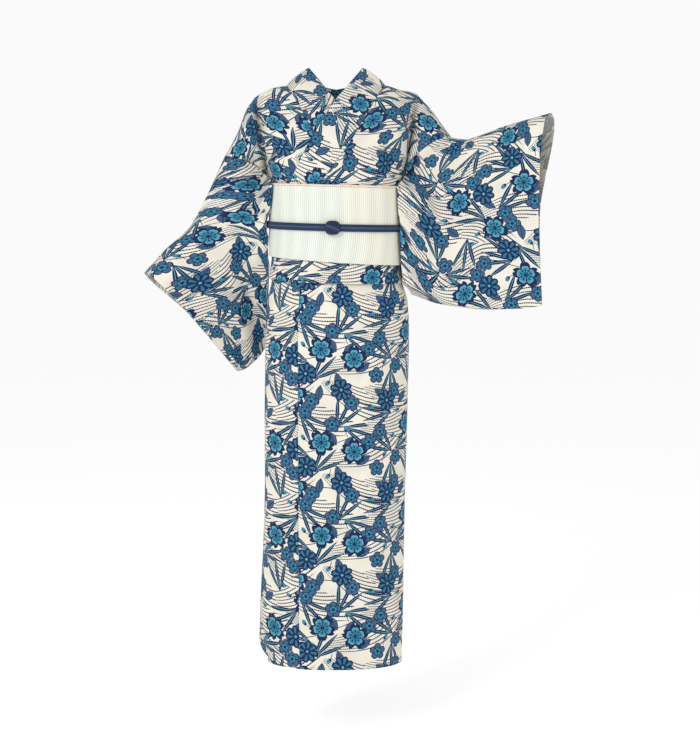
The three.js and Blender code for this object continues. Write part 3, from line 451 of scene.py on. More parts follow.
def printed(name, faded):
    """The print in a material: each motif's outline is worked out from the place seen from its
    nearest spot. faded is how far the inks sink into the ground on the cloth's inner side."""
    graph = Graph(name)
    place = graph.place("cloth")
    x, y = graph.parts(place)
    patch = graph.node("ShaderNodeTexNoise", {"noise_dimensions": "2D"}, place, 0.02, 1)
    colour = graph.blend((patch * 3 - 1.1).math("MINIMUM", 1.0).math("MAXIMUM", 0.0), IVORY, SHADE)

    # Toothed streams: bowed parallel lines inside a long leaf-shaped patch
    lx, ly = graph.parts(graph.nearest(place, STREAMS, REPEAT, 3.2))
    spread = (lx + 105) * 0.0042 + 0.36
    bowed = (ly + (lx * 0.017).math("COSINE") * 20) / spread
    tooth = (lx * 1.3).math("SINE")
    line = bowed.math("PINGPONG", 5.0) < tooth * 0.5 + 1.4
    patch_edge = 31 - lx * lx * 0.0028
    colour = graph.blend(line * (abs(ly) < patch_edge), colour, NAVY)

    # Thin branches that cross the whole repeat
    for height, swing, phase in ((58, 22, 0.0), (150, 16, 2.2)):
        bend = (x * (2 * np.pi / REPEAT[0]) + phase).math("SINE") * swing + height
        off = (y - bend).math("WRAP", REPEAT[1] / 2, -REPEAT[1] / 2)
        colour = graph.blend(abs(off) < 0.9, colour, NAVY)

    # Sprays of three sword leaves from one foot, each with a light mid-line
    spray = graph.nearest(place, SPRAYS, REPEAT, 1.5)
    lx, ly = graph.parts(spray)
    lx = lx + 36
    far = (lx * lx + ly * ly).math("SQRT")
    turn = ly.math("ARCTAN2", lx)
    fan = turn.math("PINGPONG", 0.21)
    aside, run = fan.math("SINE") * far, fan.math("COSINE") * far
    along = (run - 37) / 37
    leaf = (aside < (1 - along * along) * 4.2) * (abs(turn) < 0.6) * (abs(along) < 1.0)
    colour = graph.blend(leaf, colour, NAVY)
    colour = graph.blend(leaf * (aside < 0.55) * (abs(along) < 0.8), colour, PALE_TEAL)

    # The slate ink is broken by fine navy speckles
    speckle = (x * 2.1).math("SINE") * (y * 1.7 + x * 0.6).math("SINE") > 0.5
    slate = graph.blend(speckle * 0.75, SLATE, NAVY)

    # Veined leaves: slate with navy veins and edge
    lx, ly = graph.parts(graph.nearest(place, VEINED, REPEAT, 1.8))
    side = abs(ly)
    edge = (1 - lx * lx * 0.0030) * 8.4 + lx.math("PINGPONG", 1.9) * 0.35
    vein = (lx - side * 0.9).math("PINGPONG", 2.3) < 0.42
    dark = (vein + (side < 0.6) + (side > edge - 1.2)).math("MINIMUM", 1.0)
    leaf = (side < edge) * (abs(lx) < 18.2)
    colour = graph.blend(leaf, colour, graph.blend(dark, slate, NAVY))

    # Buds: a teal drop in a navy cup on a short stalk
    lx, ly = graph.parts(graph.nearest(place, BUDS, REPEAT, 1.6))
    drop = (lx * lx * 0.021 + ly * ly * 0.05) < 1
    stalk = (abs(ly + lx * lx * 0.02) < 0.8) * (lx < 0) * (lx > -17)
    colour = graph.blend(stalk, colour, NAVY)
    colour = graph.blend(drop, colour, graph.blend(lx + abs(ly) < -0.6, TEAL, NAVY))

    # Small blossoms: slate with a teal heart and navy outline, petal gaps and eye
    far, turn = graph.polar(graph.nearest(place, SMALL, REPEAT))
    petal = turn.math("PINGPONG", FIVE) / FIVE
    edge = (1 - petal ** 2.6 * 0.30) * 18.5
    dark = (far > edge - 2.4) + (petal > 0.82) + (far < 3.4) + (abs(far - 8.5) < 0.7)
    inside = graph.blend(dark.math("MINIMUM", 1.0), graph.blend(far < 9, slate, TEAL), NAVY)
    colour = graph.blend(far < edge, colour, inside)

    # Rayed blossoms: navy with teal rays and a pale eye
    far, turn = graph.polar(graph.nearest(place, RAYED, REPEAT))
    petal = turn.math("PINGPONG", EIGHT) / EIGHT
    edge = (1 - petal * petal * 0.24) * 25
    ray = (petal < 0.46) * (far > 7.5) * (far < edge * 0.84)
    colour = graph.blend(far < edge, colour, graph.blend(ray, NAVY, DEEP_TEAL))
    colour = graph.blend(far < 3.0, colour, PALE_TEAL)

    # Notched blossoms: navy outer petals, a teal five-lobed heart with a paler rim, stamens
    far, turn = graph.polar(graph.nearest(place, NOTCHED, REPEAT))
    petal = turn.math("PINGPONG", FIVE) / FIVE
    notch = (1 - petal * 5).math("MAXIMUM", 0.0)
    edge = (1 - petal ** 2.2 * 0.38 - notch * 0.17) * 30
    heart = (1 - petal ** 3.5 * 0.45 - notch * 0.06) * 20
    spoke = turn.math("PINGPONG", FIVE / 2) * far
    stamen = (spoke < 0.8) * (far < 10.5) + (abs(far - 11.4) < 1.5) * (spoke < 1.9) + (far < 3.0)
    inside = graph.blend(far > heart * 0.84, TEAL, PALE_TEAL)
    inside = graph.blend(stamen.math("MINIMUM", 1.0), inside, NAVY)
    colour = graph.blend(far < edge, colour, graph.blend(far < heart, NAVY, inside))

    if faded:
        colour = graph.blend(faded, colour, IVORY)
    weave = (x * 5.2).math("SINE") * (y * 5.2).math("SINE")
    return graph.finished(colour, 0.82, sheen=0.05, specular=0.15, threads=weave, strength=0.3, height=0.0003)


print_face, print_back = printed("print", 0), printed("print_inside", 0.45)

# Half a seam's gap as a turn of the body, and the shares of it that the cloth leaves open
SEAM_TURN = SEAM_GAP / 2 / GIRTH
SKIRT_SHARE, BACK_SHARE = 0.3, 0.2


def cut_size(flat):
    """Mean width and length of a sheet, from its flat places."""
    spans = [[np.ptp(flat[..., k], axis=axis).mean() for axis in (0, 1)] for k in (0, 1)]
    return [float(max(span)) for span in spans]


def closer(count, pull=0.7):
    """Shares from 0 to 1 that lie closer together beside both ends."""
    even = np.linspace(0, 1, count)
    return even - pull * np.sin(2 * np.pi * even) / (2 * np.pi)


SEAM_DIP, SEAM_WIDTH = 0.9, 0.0022
HEM_SWELL, HEM_STEP = 0.5, 0.002


def sewn(grid, flat, sides, hem):
    """Draws the cloth in along its sewn sides, and thickens the fold of a hem beside row 0."""
    across, along = flat[..., 0], flat[..., 1]
    near = [across, across[:, -1:] - across]
    dip = sum(-SEAM_DIP * np.exp(-((edge / SEAM_WIDTH) ** 2)) for edge, used in zip(near, sides) if used)
    dip = dip + HEM_SWELL * (1 - ease((along - hem) / HEM_STEP))
    return grid + normals_of(grid) * (dip + np.zeros_like(across))[..., None]


def skirt_points(turn, share):
    """The wrap: by turns round the body and shares of the height, with the hem drawn up and
    flared at the overlap's corner."""
    outer = np.clip((OUTER_OVERLAP - turn) / (OUTER_OVERLAP - OUTER_EDGE), 0, 1)
    inner = np.clip((turn - INNER_OVERLAP) / (INNER_EDGE - INNER_OVERLAP), 0, 1)
    hem = HEM_RISE * np.maximum(outer, inner) ** 2.2
    out = column(LAYERS, "skirt", turn)
    height = mix(hem, sash_point(turn, SKIRT_TOP, out)[..., 2], share)
    return body_point(turn, height, out + EDGE_FLARE * outer**2 * (1 - ease(height / 420)))


# Each panel: its node, its two seams, columns, where its cut starts on the bolt, its sewn
# sides and its folds (start, end, width in metres, height in millimetres)
SKIRT_PANELS = [
    ("overlap_left_skirt", OUTER_EDGE, OUTER_OVERLAP, 34, (0.11, 0.02), (False, True), [
        ((0.02, 0.0), (0.06, 0.62), 0.020, 2.6), ((0.09, 0.0), (0.10, 0.50), 0.022, -2.6)]),
    ("front_left_skirt", OUTER_OVERLAP, LEFT_SIDE, 64, (0.27, 0.17), (True, True), [
        ((0.04, 0.0), (0.05, 0.44), 0.024, 2.4), ((0.12, 0.10), (0.09, 0.84), 0.026, -2.8),
        ((0.18, 0.0), (0.15, 0.66), 0.026, 2.8), ((0.24, 0.20), (0.22, 0.86), 0.022, -2.6),
        ((0.27, 0.0), (0.25, 0.40), 0.020, 2.0), ((0.06, 0.74), (0.21, 0.82), 0.016, 1.6)]),
    ("back_left_skirt", LEFT_SIDE, BACK_SEAM, 50, (0.02, 0.09), (True, True), [
        ((0.06, 0.0), (0.05, 0.70), 0.026, -2.8), ((0.13, 0.0), (0.11, 0.50), 0.026, 2.8),
        ((0.19, 0.25), (0.17, 0.86), 0.024, -2.2)]),
    ("back_right_skirt", BACK_SEAM, RIGHT_SIDE, 50, (0.19, 0.12), (True, True), [
        ((0.05, 0.1), (0.06, 0.80), 0.026, -2.4), ((0.11, 0.0), (0.13, 0.60), 0.026, 2.6),
        ((0.18, 0.0), (0.18, 0.46), 0.022, -2.4)]),
    ("front_right_skirt", RIGHT_SIDE, INNER_OVERLAP, 50, (0.06, 0.14), (True, True), [
        ((0.05, 0.0), (0.06, 0.60), 0.026, -2.0)]),
    ("overlap_right_skirt", INNER_OVERLAP, INNER_EDGE, 26, (0.21, 0.03), (True, False), []),
]
HEM_FOLD, SKIRT_ROWS = 0.014, 150
for name, start, end, columns, cut, sides, folds in SKIRT_PANELS:
    turns = mix(start + SEAM_TURN * SKIRT_SHARE, end - SEAM_TURN * SKIRT_SHARE, closer(columns))
    grid = skirt_points(turns[None, :], np.linspace(0, 1, SKIRT_ROWS)[:, None])
    flat = lengths_of(grid)
    grid = sewn(creased(grid, flat, folds), flat, sides, HEM_FOLD)
    panel = cloth(name, [name], grid, flat + cut, [print_face, print_back])
    cut_size(flat)

# Sleeves: each is one cloth folded over at the shoulder and at the bottom, hanging from the
# arm as a flat bag, open at the cuff. The raised one hangs square, the lowered one slants.

# Each sleeve: shares of its width, points on its top fold, middle and bottom fold there, how
# round it is over the arm, and half its thickness in the middle and below
SLEEVES = {
    1: dict(
        at=[0, 0.3, 0.62, 0.85, 1],
        top=[[268, 5, 1174], [316, -12, 1170], [392, -60, 1200], [440, -92, 1212], [470, -110, 1219]],
        mid=[[156, 0, 1100], [228, -12, 1062], [330, -42, 1040], [406, -75, 1015], [447, -95, 1001]],
        low=[[172, 4, 826], [240, -18, 803], [340, -45, 792], [415, -65, 794], [456, -75, 800]],
        arm=[40, 40, 38, 36, 33],
        half=[12, 30, 28, 18, 4],
        thin=[11, 15, 13, 8, 1.1],
    ),
    -1: dict(
        at=[0, 0.28, 0.55, 0.8, 1],
        top=[[-252, 4, 1138], [-292, 0, 1050], [-330, -10, 978], [-384, -30, 924], [-426, -45, 874]],
        mid=[[-169, 6, 1106], [-204, 10, 1004], [-250, 8, 915], [-296, -5, 840], [-330, -15, 779]],
        low=[[-161, 142, 752], [-174, 114, 706], [-192, 82, 672], [-217, 76, 652], [-230, 70, 648]],
        arm=[40, 40, 38, 36, 33],
        half=[12, 30, 28, 17, 4],
        thin=[9, 14, 13, 8, 1.1],
    ),
}
# Each wave: its place across and down the sleeve, its width both ways, and its height
SLEEVE_WAVES = {
    1: [(0.16, 0.3, 0.1, 0.35, 9), (0.42, 0.62, 0.1, 0.5, 5), (0.74, 0.66, 0.09, 0.5, 4)],
    -1: [(0.2, 0.24, 0.12, 0.3, 8), (0.34, 0.62, 0.1, 0.5, 6), (0.62, 0.6, 0.09, 0.5, 5)],
}
MID_SHARE = 0.4
# The front layer is moved in and forwards beside the body, so that it laps the sash
STRADDLE = {1: np.array([-20, -60, 0]), -1: np.array([20, -74, 0])}
# How far the sleeves keep out from the wrapped body: past the skirt, the tuck, the sash, the cord
CLEARANCE = dict(
    at=[760, 850, 895, 905, 955, 965, 997, 1007, 1080],
    out=[4.5, 14, 15, 18, 18, 23.5, 23.5, 18, 18],
)
CLEAR_TOP, CLEAR_FADE = 1100, 22
BAG_BOTTOM = 0.975  # the share of the depth at which the bag starts to round in
ARMHOLE_GAP = 0.005


def row_points(side, name, across):
    return smooth(across[..., None], SLEEVES[side]["at"], [np.array(point) for point in SLEEVES[side][name]])


def sleeve_centre(side, across, down):
    """The middle of the bag: a curve from its top fold through its middle to its bottom."""
    stops = [row_points(side, name, across) for name in ("top", "mid", "low")]
    return smooth(down[..., None], [0, MID_SHARE, 1], stops)


def sleeve_depth(side, across):
    return np.linalg.norm(row_points(side, "low", across) - row_points(side, "top", across), axis=-1)


def sleeve_half(side, across, down):
    """Half the bag's thickness: round over the arm, thin below it, closed at the bottom."""
    depth = sleeve_depth(side, across)
    arm, half, thin = (column(SLEEVES[side], name, across) for name in ("arm", "half", "thin"))
    shape = smooth(down, [0 * arm, arm / depth, MID_SHARE + 0 * arm, 0.82, 1], [arm, arm, half, thin, thin])
    cap = np.sqrt(1 - (1 - np.clip(down * depth / arm, 0, 1)) ** 2)
    tuck = np.sqrt(1 - np.clip((down - BAG_BOTTOM) / (1 - BAG_BOTTOM), 0, 1) ** 2)
    return shape * cap * tuck


def sleeve_point(side, across, down, face):
    """A point of the front layer (face 1) or the back layer (face -1), with the bag's waves."""
    across, down = np.broadcast_arrays(np.asarray(across, float), np.asarray(down, float))
    step = 0.01
    before, after = np.maximum(0, across - step), np.minimum(1, across + step)
    above, below = np.maximum(0, down - step), np.minimum(1, down + step)
    along = sleeve_centre(side, after, down) - sleeve_centre(side, before, down)
    fall = sleeve_centre(side, across, below) - sleeve_centre(side, across, above)
    normal = unit(np.cross(along, fall))
    normal = np.where(normal[..., 1:2] > 0, -normal, normal)
    wave = sum(
        deep * np.exp(-(((across - at) / run) ** 2) - 2 * ((down - low) / long) ** 2)
        for at, low, run, long, deep in SLEEVE_WAVES[side]
    )
    fade = ease(down / 0.15) * ease(across / 0.1) * ease((1 - across) / 0.12) * ease((1 - down) / 0.1)
    offset = face * sleeve_half(side, across, down) + wave * fade
    points = sleeve_centre(side, across, down) + normal * offset[..., None]
    beside = (1 - ease(across / 0.5)) * ease((down - MID_SHARE) / 0.12) * (1 - ease((down - 0.94) / 0.06))
    return points + (face > 0) * beside[..., None] * STRADDLE[side]


def kept_clear(points):
    """Points inside the wrapped body's clearance section go straight out from its middle, onto
    that section. The move fades out below the armhole's sewn edge."""
    x, y, height = np.moveaxis(points, -1, 0)
    out = column(CLEARANCE, "out", height)
    aside = x - column(BODY, "lean", height)
    across = np.abs(aside) / (column(BODY, "wide", height) + out)
    along = np.abs(y) / (column(BODY, "deep", height) + out)
    reach = (across**SQUARENESS + along**SQUARENESS) ** (1 / SQUARENESS)
    move = (1 / np.clip(reach, 0.6, 1) - 1) * ease((CLEAR_TOP - height) / CLEAR_FADE)
    return np.stack([x + aside * move, y * (1 + move), height], -1)


def sleeve_downs(side, across):
    """Shares of the depth from the top fold to the bottom one, even along each rounded end."""
    arm = column(SLEEVES[side], "arm", across) / sleeve_depth(side, across)
    cap = (1 - np.cos(np.linspace(0, np.pi / 2, 14))) * arm[..., None]
    wall = mix(arm[..., None], BAG_BOTTOM, np.linspace(0, 1, 70)[1:])
    end = BAG_BOTTOM + (1 - BAG_BOTTOM) * np.sin(np.linspace(0, np.pi / 2, 8)[1:]) + 0 * arm[..., None]
    return np.concatenate([cap, wall, end], -1)


SLEEVE_CUTS = {1: ("sleeve_left", (0.05, 0.06)), -1: ("sleeve_right", (0.22, 0.11))}
SLEEVE_FOLDS = {
    1: [
        ((0.03, 0.62), (0.17, 0.79), 0.014, 7), ((0.08, 0.60), (0.19, 0.72), 0.014, -6),
        ((0.02, 0.10), (0.12, 0.30), 0.018, 4), ((0.16, 0.06), (0.20, 0.28), 0.018, -4),
    ],
    -1: [
        ((0.00, 0.27), (0.10, 0.43), 0.010, -7), ((0.00, 0.24), (0.11, 0.40), 0.012, 5),
        ((0.05, 0.12), (0.20, 0.30), 0.018, -4), ((0.02, 0.62), (0.16, 0.66), 0.014, 5),
        ((0.06, 0.56), (0.12, 0.76), 0.018, -4),
    ],
}
for side, (name, cut) in SLEEVE_CUTS.items():
    across = mix(ARMHOLE_GAP, 1, closer(80))
    downs = sleeve_downs(side, across)
    front = sleeve_point(side, across[:, None], downs, 1)
    back = sleeve_point(side, across[:, None], downs, -1)
    grid = np.concatenate([front[:, ::-1], back[:, 1:]], 1)
    if side > 0:
        grid = grid[:, ::-1]
    flat = lengths_of(grid)[..., ::-1]
    grid = kept_clear(creased(grid, flat, SLEEVE_FOLDS[side]))
    sleeve = cloth(name, [name], grid, flat + cut, [print_face, print_back])
    cut_size(flat)

# Bodice: two cloths that run from the tuck in front over the shoulder and down the back. Each
# lies in a soft crease beside the arm, and all but the hidden right front end in a hanging fold.
RIDGES = {
    1: dict(at=[0, 111, 143, 180, 198, 217, 254, 270], z=[1299, 1299, 1290, 1282, 1264, 1243, 1192, 1172]),
    -1: dict(at=[0, 111, 140, 163, 185, 201, 221, 250], z=[1298, 1298, 1294, 1285, 1271, 1250, 1196, 1138]),
}
RIDGE_Y, ROLL, OVERLAY = 6, 45, 5
YOKE = dict(
    at=[1050, 1100, 1145, 1180, 1210, 1240, 1270, 1300, 1345],
    front=[114, 118, 118, 111, 100, 86, 70, 58, 44],
    back=[103.8, 106, 109, 111, 111, 107, 101, 100, 108],
    wide=[143, 152, 166, 173, 180, 190, 205, 225, 250],
)
YOKE_END, YOKE_BOTTOM, YOKE_HALF_DEPTH = 1062, 1050, 110
COLLAR_LINES = dict(
    at=[1000, 1062, 1141, 1176, 1210, 1250, 1280, 1300, 1325, 1343],
    seam=[-78, -37, 23, 44, 63, 85, 101, 111, 111, 111],
    free=[-128, -103, -65, -47, -27, -3, 19, 33, 51, 64],
)
OVERLAP_SEAM_TOP, OVERLAP_SEAM_X, OVERLAP_RUN = 1141, (5, 23), 140
NECK = dict(at=[0, 0.26, 0.52, 0.78, 1], x=[111, 103, 83, 50, 0])
CREASE = dict(at=[0, 0.5, 1, 1.4, 1.8, 2], x=[186, 182, 176, 166, 153, 142])
CREASE_DEPTH = {1: 22, -1: 10}  # in front and behind
CREASE_SPREAD, CREASE_START, CREASE_RUN = 11, 0.25, 1.7
ARM_SWELL = 7
OVERLAY_END, OVERLAY_FADE = 1255, 44
FRONT_TURN = {1: 0, -1: 1}  # the left front is the spiral's first turn, the right one its last
ROLLS = [0, 0.26, 0.52, 0.78, 1, 1.2, 1.4, 1.6, 1.8]
ARM_STEPS = [0, 0.06, 0.22, 0.5, 1]


def rounded(t):
    return (1 - np.minimum(1, np.abs(t)) ** SQUARENESS) ** (1 / SQUARENESS)


def ridge_height(x, side):
    return column(RIDGES[side], "z", np.abs(x))


def roll_height(x, roll, face, side):
    """Height of the cloth that rolls over the shoulder line (roll 0 to 1), then falls to the
    sash (roll 2), in front (face 1) or behind (face -1)."""
    top = ridge_height(x, side)
    sash = YOKE_END + SIDE_SLOPE * side * x - face * FRONT_SLOPE * YOKE_HALF_DEPTH
    return np.where(roll < 1, top - ROLL * (1 - np.cos(roll * np.pi / 2)), mix(top - ROLL, sash, roll - 1))


def overlay(height):
    """The left front lies over the right one, up to where the two part at the neck."""
    return OVERLAY * (1 - ease((height - OVERLAY_END) / OVERLAY_FADE))


def yoke_depth(x, height, side, face):
    rolled = np.sqrt(1 - (1 - np.clip((ridge_height(x, side) - height) / ROLL, 0, 1)) ** 2)
    depth = column(YOKE, "front" if face > 0 else "back", height) * rounded(x / column(YOKE, "wide", height))
    lift = overlay(height) if side > 0 and face > 0 else 0
    return RIDGE_Y - face * (depth + lift) * rolled


def front_point(x, height, side):
    """Front of the bodice at any height; x grows from the middle towards its own side."""
    x, height = np.broadcast_arrays(np.asarray(x, float), np.asarray(height, float))
    out = column(LAYERS, "bodice", FRONT_TURN[side] + side * 0.02)
    below = -(column(BODY, "deep", height) + out) * rounded(x / (column(BODY, "wide", height) + out))
    y = np.where(height >= YOKE_BOTTOM, yoke_depth(x, height, side, 1), below)
    return np.stack([side * x, y, height], -1)


def seam_x(height):
    return column(COLLAR_LINES, "seam", height)


def overlap_x(height):
    return mix(*OVERLAP_SEAM_X, (height - YOKE_END) / (OVERLAP_SEAM_TOP - YOKE_END))


def inner_x(roll, face, side):
    """Inner edge of a body panel: at the overlap's seam, the collar or the centre back."""
    height = roll_height(np.zeros_like(roll), roll, face, side)
    if face > 0:
        return np.where(height < OVERLAP_SEAM_TOP, overlap_x(height), seam_x(height))
    return np.maximum(SEAM_GAP * BACK_SHARE / 2, column(NECK, "x", roll))


def valley(roll, face, distance):
    deep = CREASE_DEPTH[face] * np.sin(np.pi * np.clip((roll - CREASE_START) / CREASE_RUN, 0, 1))
    return face * deep * np.exp(-((distance / CREASE_SPREAD) ** 2))


def chest_point(share, roll, face, side):
    crease = column(CREASE, "x", roll)
    x = mix(inner_x(roll, face, side), crease, share)
    height = roll_height(x, roll, face, side)
    y = yoke_depth(x, height, side, face) + valley(roll, face, crease - x)
    return np.stack([side * x, y, height], -1)


def armhole_point(roll, face, side):
    arm = column(SLEEVES[side], "arm", 0.0) / sleeve_depth(side, np.zeros(1))[0]
    downs = [step * arm for step in ARM_STEPS] + list(np.linspace(arm, MID_SHARE, 5)[1:])
    return sleeve_point(side, np.zeros_like(roll), smooth(roll, ROLLS, downs), face)


def arm_point(share, roll, face, side):
    """The cloth from the crease out over the upper arm to the armhole."""
    share, roll = np.broadcast_arrays(share, roll)
    crease, edge = chest_point(np.ones_like(share), roll, face, side), armhole_point(roll, face, side)
    top, end = chest_point(1.0, np.zeros(1), face, side)[0], armhole_point(np.zeros(1), face, side)[0]
    point = mix(crease, edge, share[..., None])
    ridge = ridge_height(mix(top[0], end[0], share), side) - mix(top[2], end[2], share)
    point[..., 2] += (1 - ease(roll / 1.1)) * ridge * np.sin(np.pi * np.minimum(share, 0.999)) ** 0.5
    distance = np.linalg.norm(edge - crease, axis=-1) * share
    hollow = valley(roll, face, distance) - valley(roll, face, 0) * (1 - share)
    swell = ARM_SWELL * np.sin(np.pi * share) * np.sin(np.pi * np.minimum(roll, 2) / 2)
    point[..., 1] += hollow * (1 - share) - face * swell
    return point


def turn_of(x, height, out):
    """The turn round the body at which its section reaches x."""
    wide, deep = column(BODY, "wide", height) + out, column(BODY, "deep", height) + out
    aside = x - column(BODY, "lean", height)
    lengths = quarter_arc(wide, deep)[2]
    angle = np.arcsin(np.minimum(1, np.abs(aside) / wide) ** (SQUARENESS / 2))
    return np.sign(aside) * np.interp(angle, ARC_ANGLES, lengths) / lengths[-1] / 4


def layer(name):
    return lambda turn: column(LAYERS, name, turn)


def at_level(level, out):
    return lambda turn: (level, out(turn))


def between(a, b, share):
    return lambda turn: mix(a(turn), b(turn), share)


def bend(a, b, level, sign):
    """Rows of the rounded turn where the cloth folds from distance a to distance b."""
    def row(t):
        def place(turn):
            radius = np.abs(a(turn) - b(turn)) / 2
            out = mix(a(turn), b(turn), (1 - np.cos(np.pi * t)) / 2)
            return level + sign * radius * np.sin(np.pi * t), out
        return place
    return [row(t) for t in np.linspace(0.1, 0.9, 7)]


BODICE, POUCH, FOLD, SKIRT = layer("bodice"), layer("pouch"), layer("fold"), layer("skirt")
# Levels at which the cloth comes out from under the sash, and how far; then the fold's own
POUCH_SHARES = ((913, 0.05), (907, 0.25), (901, 0.5), (895, 0.8))
FOLD_LOW, FOLD_TURN = TUCK_BOTTOM + 2.2, TUCK_BOTTOM + 1.7
FOLD_HIGH, SKIRT_FOLD = SKIRT_TOP + 2, SKIRT_TOP + 2.5
SIDE_TURN = 0.25  # where a row's own level is read


def tucked_rows(levels):
    """The cloth under the sash, out into the hanging fold, up inside it and over into the
    skirt, as rows that each give a level and a distance out from the body."""
    rows = [at_level(level, BODICE) for level in levels]
    rows += [at_level(level, between(BODICE, POUCH, share)) for level, share in POUCH_SHARES]
    rows += [at_level(level, POUCH) for level in (889, 883, 877, 871, 866, FOLD_LOW)]
    rows += bend(POUCH, FOLD, FOLD_TURN, -1)
    rows += [at_level(level, FOLD) for level in (FOLD_LOW, 870, FOLD_HIGH)]
    rows += bend(FOLD, SKIRT, SKIRT_FOLD, 1)
    return rows + [at_level(SKIRT_TOP + SEAM_GAP, SKIRT)]


UNDER_SASH = [YOKE_END, 1040, 1018, 999, 980, 960, 940, 925]
TUCKED_ROWS = tucked_rows(UNDER_SASH)
PLAIN_ROWS = [at_level(level, BODICE) for level in UNDER_SASH[:-1]]
PLAIN_ROWS.append(at_level(914, between(BODICE, SKIRT, 0.6)))
PLAIN_ROWS += [at_level(level, SKIRT) for level in (898, SKIRT_TOP + SEAM_GAP)]


def tuck_grid(rows, start, end, shares):
    """Rows round the body between two edges, each of which gives its turn at a level."""
    lines = []
    for row in rows:
        level = np.max(row(SIDE_TURN)[0])
        turn = mix(start(level), end(level), shares)
        lines.append(sash_point(turn, *row(turn)))
    return np.array(lines)


def overlap_turn(level, first, side):
    seam = OUTER_OVERLAP if side > 0 else INNER_OVERLAP
    return mix(first, seam, np.clip((YOKE_END - level) / OVERLAP_RUN, 0, 1))


def bridged(upper, lower, count):
    """Rows in between the last of one grid and the first of the next."""
    t = np.linspace(0, 1, count + 2)[1:-1, None, None]
    return np.concatenate([upper, mix(upper[-1], lower[0], t), lower])


CHEST_SHARES = closer(60, 0.4)
ARM_SHARES = closer(28, 0.4)[1:]
YOKE_ROLLS = np.concatenate([np.linspace(0, 1, 26), np.linspace(1, 1.8, 30)[1:]])[:, None]


def yoke_grid(face, side):
    chest = chest_point(CHEST_SHARES[None, :], YOKE_ROLLS, face, side)
    return np.concatenate([chest, arm_point(ARM_SHARES[None, :], YOKE_ROLLS, face, side)], 1)


def hidden_grid(rows, face, side, inner, side_seam):
    """Under the sash the same columns go on as turns round the body."""
    start, crease = inner_x(np.array(2.0), face, side), CREASE["x"][-1]
    front_turn = FRONT_TURN[side]
    out = column(LAYERS, "bodice", front_turn if face > 0 else BACK_SEAM)
    height = YOKE_END - face * FRONT_SLOPE * YOKE_HALF_DEPTH
    x = side * mix(start, crease, CHEST_SHARES)
    chest = front_turn + turn_of(x, height, out) if face > 0 else BACK_SEAM - turn_of(x, height, out)
    turns = np.concatenate([chest, mix(chest[-1], side_seam, ARM_SHARES)])
    shares = (turns - turns[0]) / (side_seam - turns[0])
    return tuck_grid(rows, lambda level: inner(level, turns[0]), lambda level: side_seam, shares)


BRIDGE_ROWS = 5
BODY_PANELS = {
    1: ("body_left", LEFT_SIDE, (0.02, 0.05)),
    -1: ("body_right", RIGHT_SIDE, (0.16, 0.13)),
}
# Folds as in the skirt: start, end and width in metres, height in millimetres
BODY_FOLDS = {
    1: [
        ((0.03, 0.41), (0.10, 0.28), 0.014, 2.6), ((0.07, 0.38), (0.13, 0.27), 0.014, -3.2),
        ((0.02, 0.33), (0.08, 0.26), 0.012, -2.4), ((0.05, 0.58), (0.10, 0.72), 0.018, 3),
        ((0.12, 0.56), (0.14, 0.70), 0.018, -3.4),
    ],
    -1: [
        ((0.045, 0.42), (0.050, 0.27), 0.010, -5), ((0.075, 0.43), (0.070, 0.30), 0.010, 3),
        ((0.13, 0.36), (0.18, 0.24), 0.014, -2.6), ((0.10, 0.56), (0.14, 0.70), 0.018, -3.4),
        ((0.16, 0.55), (0.18, 0.68), 0.018, 3),
    ],
}
for side, (name, side_seam, cut) in BODY_PANELS.items():
    front_rows = TUCKED_ROWS if side > 0 else PLAIN_ROWS
    back_turn = BACK_SEAM - side * SEAM_TURN * BACK_SHARE
    front = hidden_grid(front_rows, 1, side, lambda level, first: overlap_turn(level, first, side), side_seam)
    back = hidden_grid(TUCKED_ROWS, -1, side, lambda level, first: back_turn, side_seam)
    front = bridged(yoke_grid(1, side), front, BRIDGE_ROWS)
    back = bridged(yoke_grid(-1, side), back, BRIDGE_ROWS)
    grid = np.concatenate([front[::-1], back[1:]])
    if side < 0:
        grid = grid[:, ::-1]
    flat = lengths_of(grid)
    grid = creased(grid, flat, BODY_FOLDS[side])
    panel = cloth(name, [name], grid, flat + cut, [print_face, print_back])
    cut_size(flat)

# Overlap panels: the narrow cloth between body panel and collar, from the chest to the tuck.
OVERLAP_SHARES = closer(26, 0.5)
COLLAR_END_LEVEL, COLLAR_END_RUN = 980, 55
HIDDEN_GAP_TURN = 0.004
OVERLAP_HEIGHTS = np.linspace(OVERLAP_SEAM_TOP - 1.5, 1082, 24)[:, None]
OVERLAP_LEVELS = [YOKE_END, 1040, 1018, 999, 980, 969, 958, 947, 936, 925]


def overlap_low(rows, side, free_edge):
    """The rows round the body: from the collar's seam, which runs out to the wrap's free edge
    below the collar's end, to the body panel's seam."""
    out = column(LAYERS, "bodice", FRONT_TURN[side])
    sash_height = YOKE_END - FRONT_SLOPE * YOKE_HALF_DEPTH
    first = FRONT_TURN[side] + turn_of(side * overlap_x(sash_height), YOKE_BOTTOM, out)

    def free(level):
        end = max(level, COLLAR_END_LEVEL)
        height = end + SIDE_SLOPE * side * seam_x(end) - FRONT_SLOPE * YOKE_HALF_DEPTH
        edge = FRONT_TURN[side] + turn_of(side * seam_x(height), height, out) + side * HIDDEN_GAP_TURN
        return mix(edge, free_edge, ease((COLLAR_END_LEVEL - level) / COLLAR_END_RUN))

    def body(level):
        return overlap_turn(level, first, side) - 2 * side * SEAM_TURN

    return tuck_grid(rows, free, body, OVERLAP_SHARES)


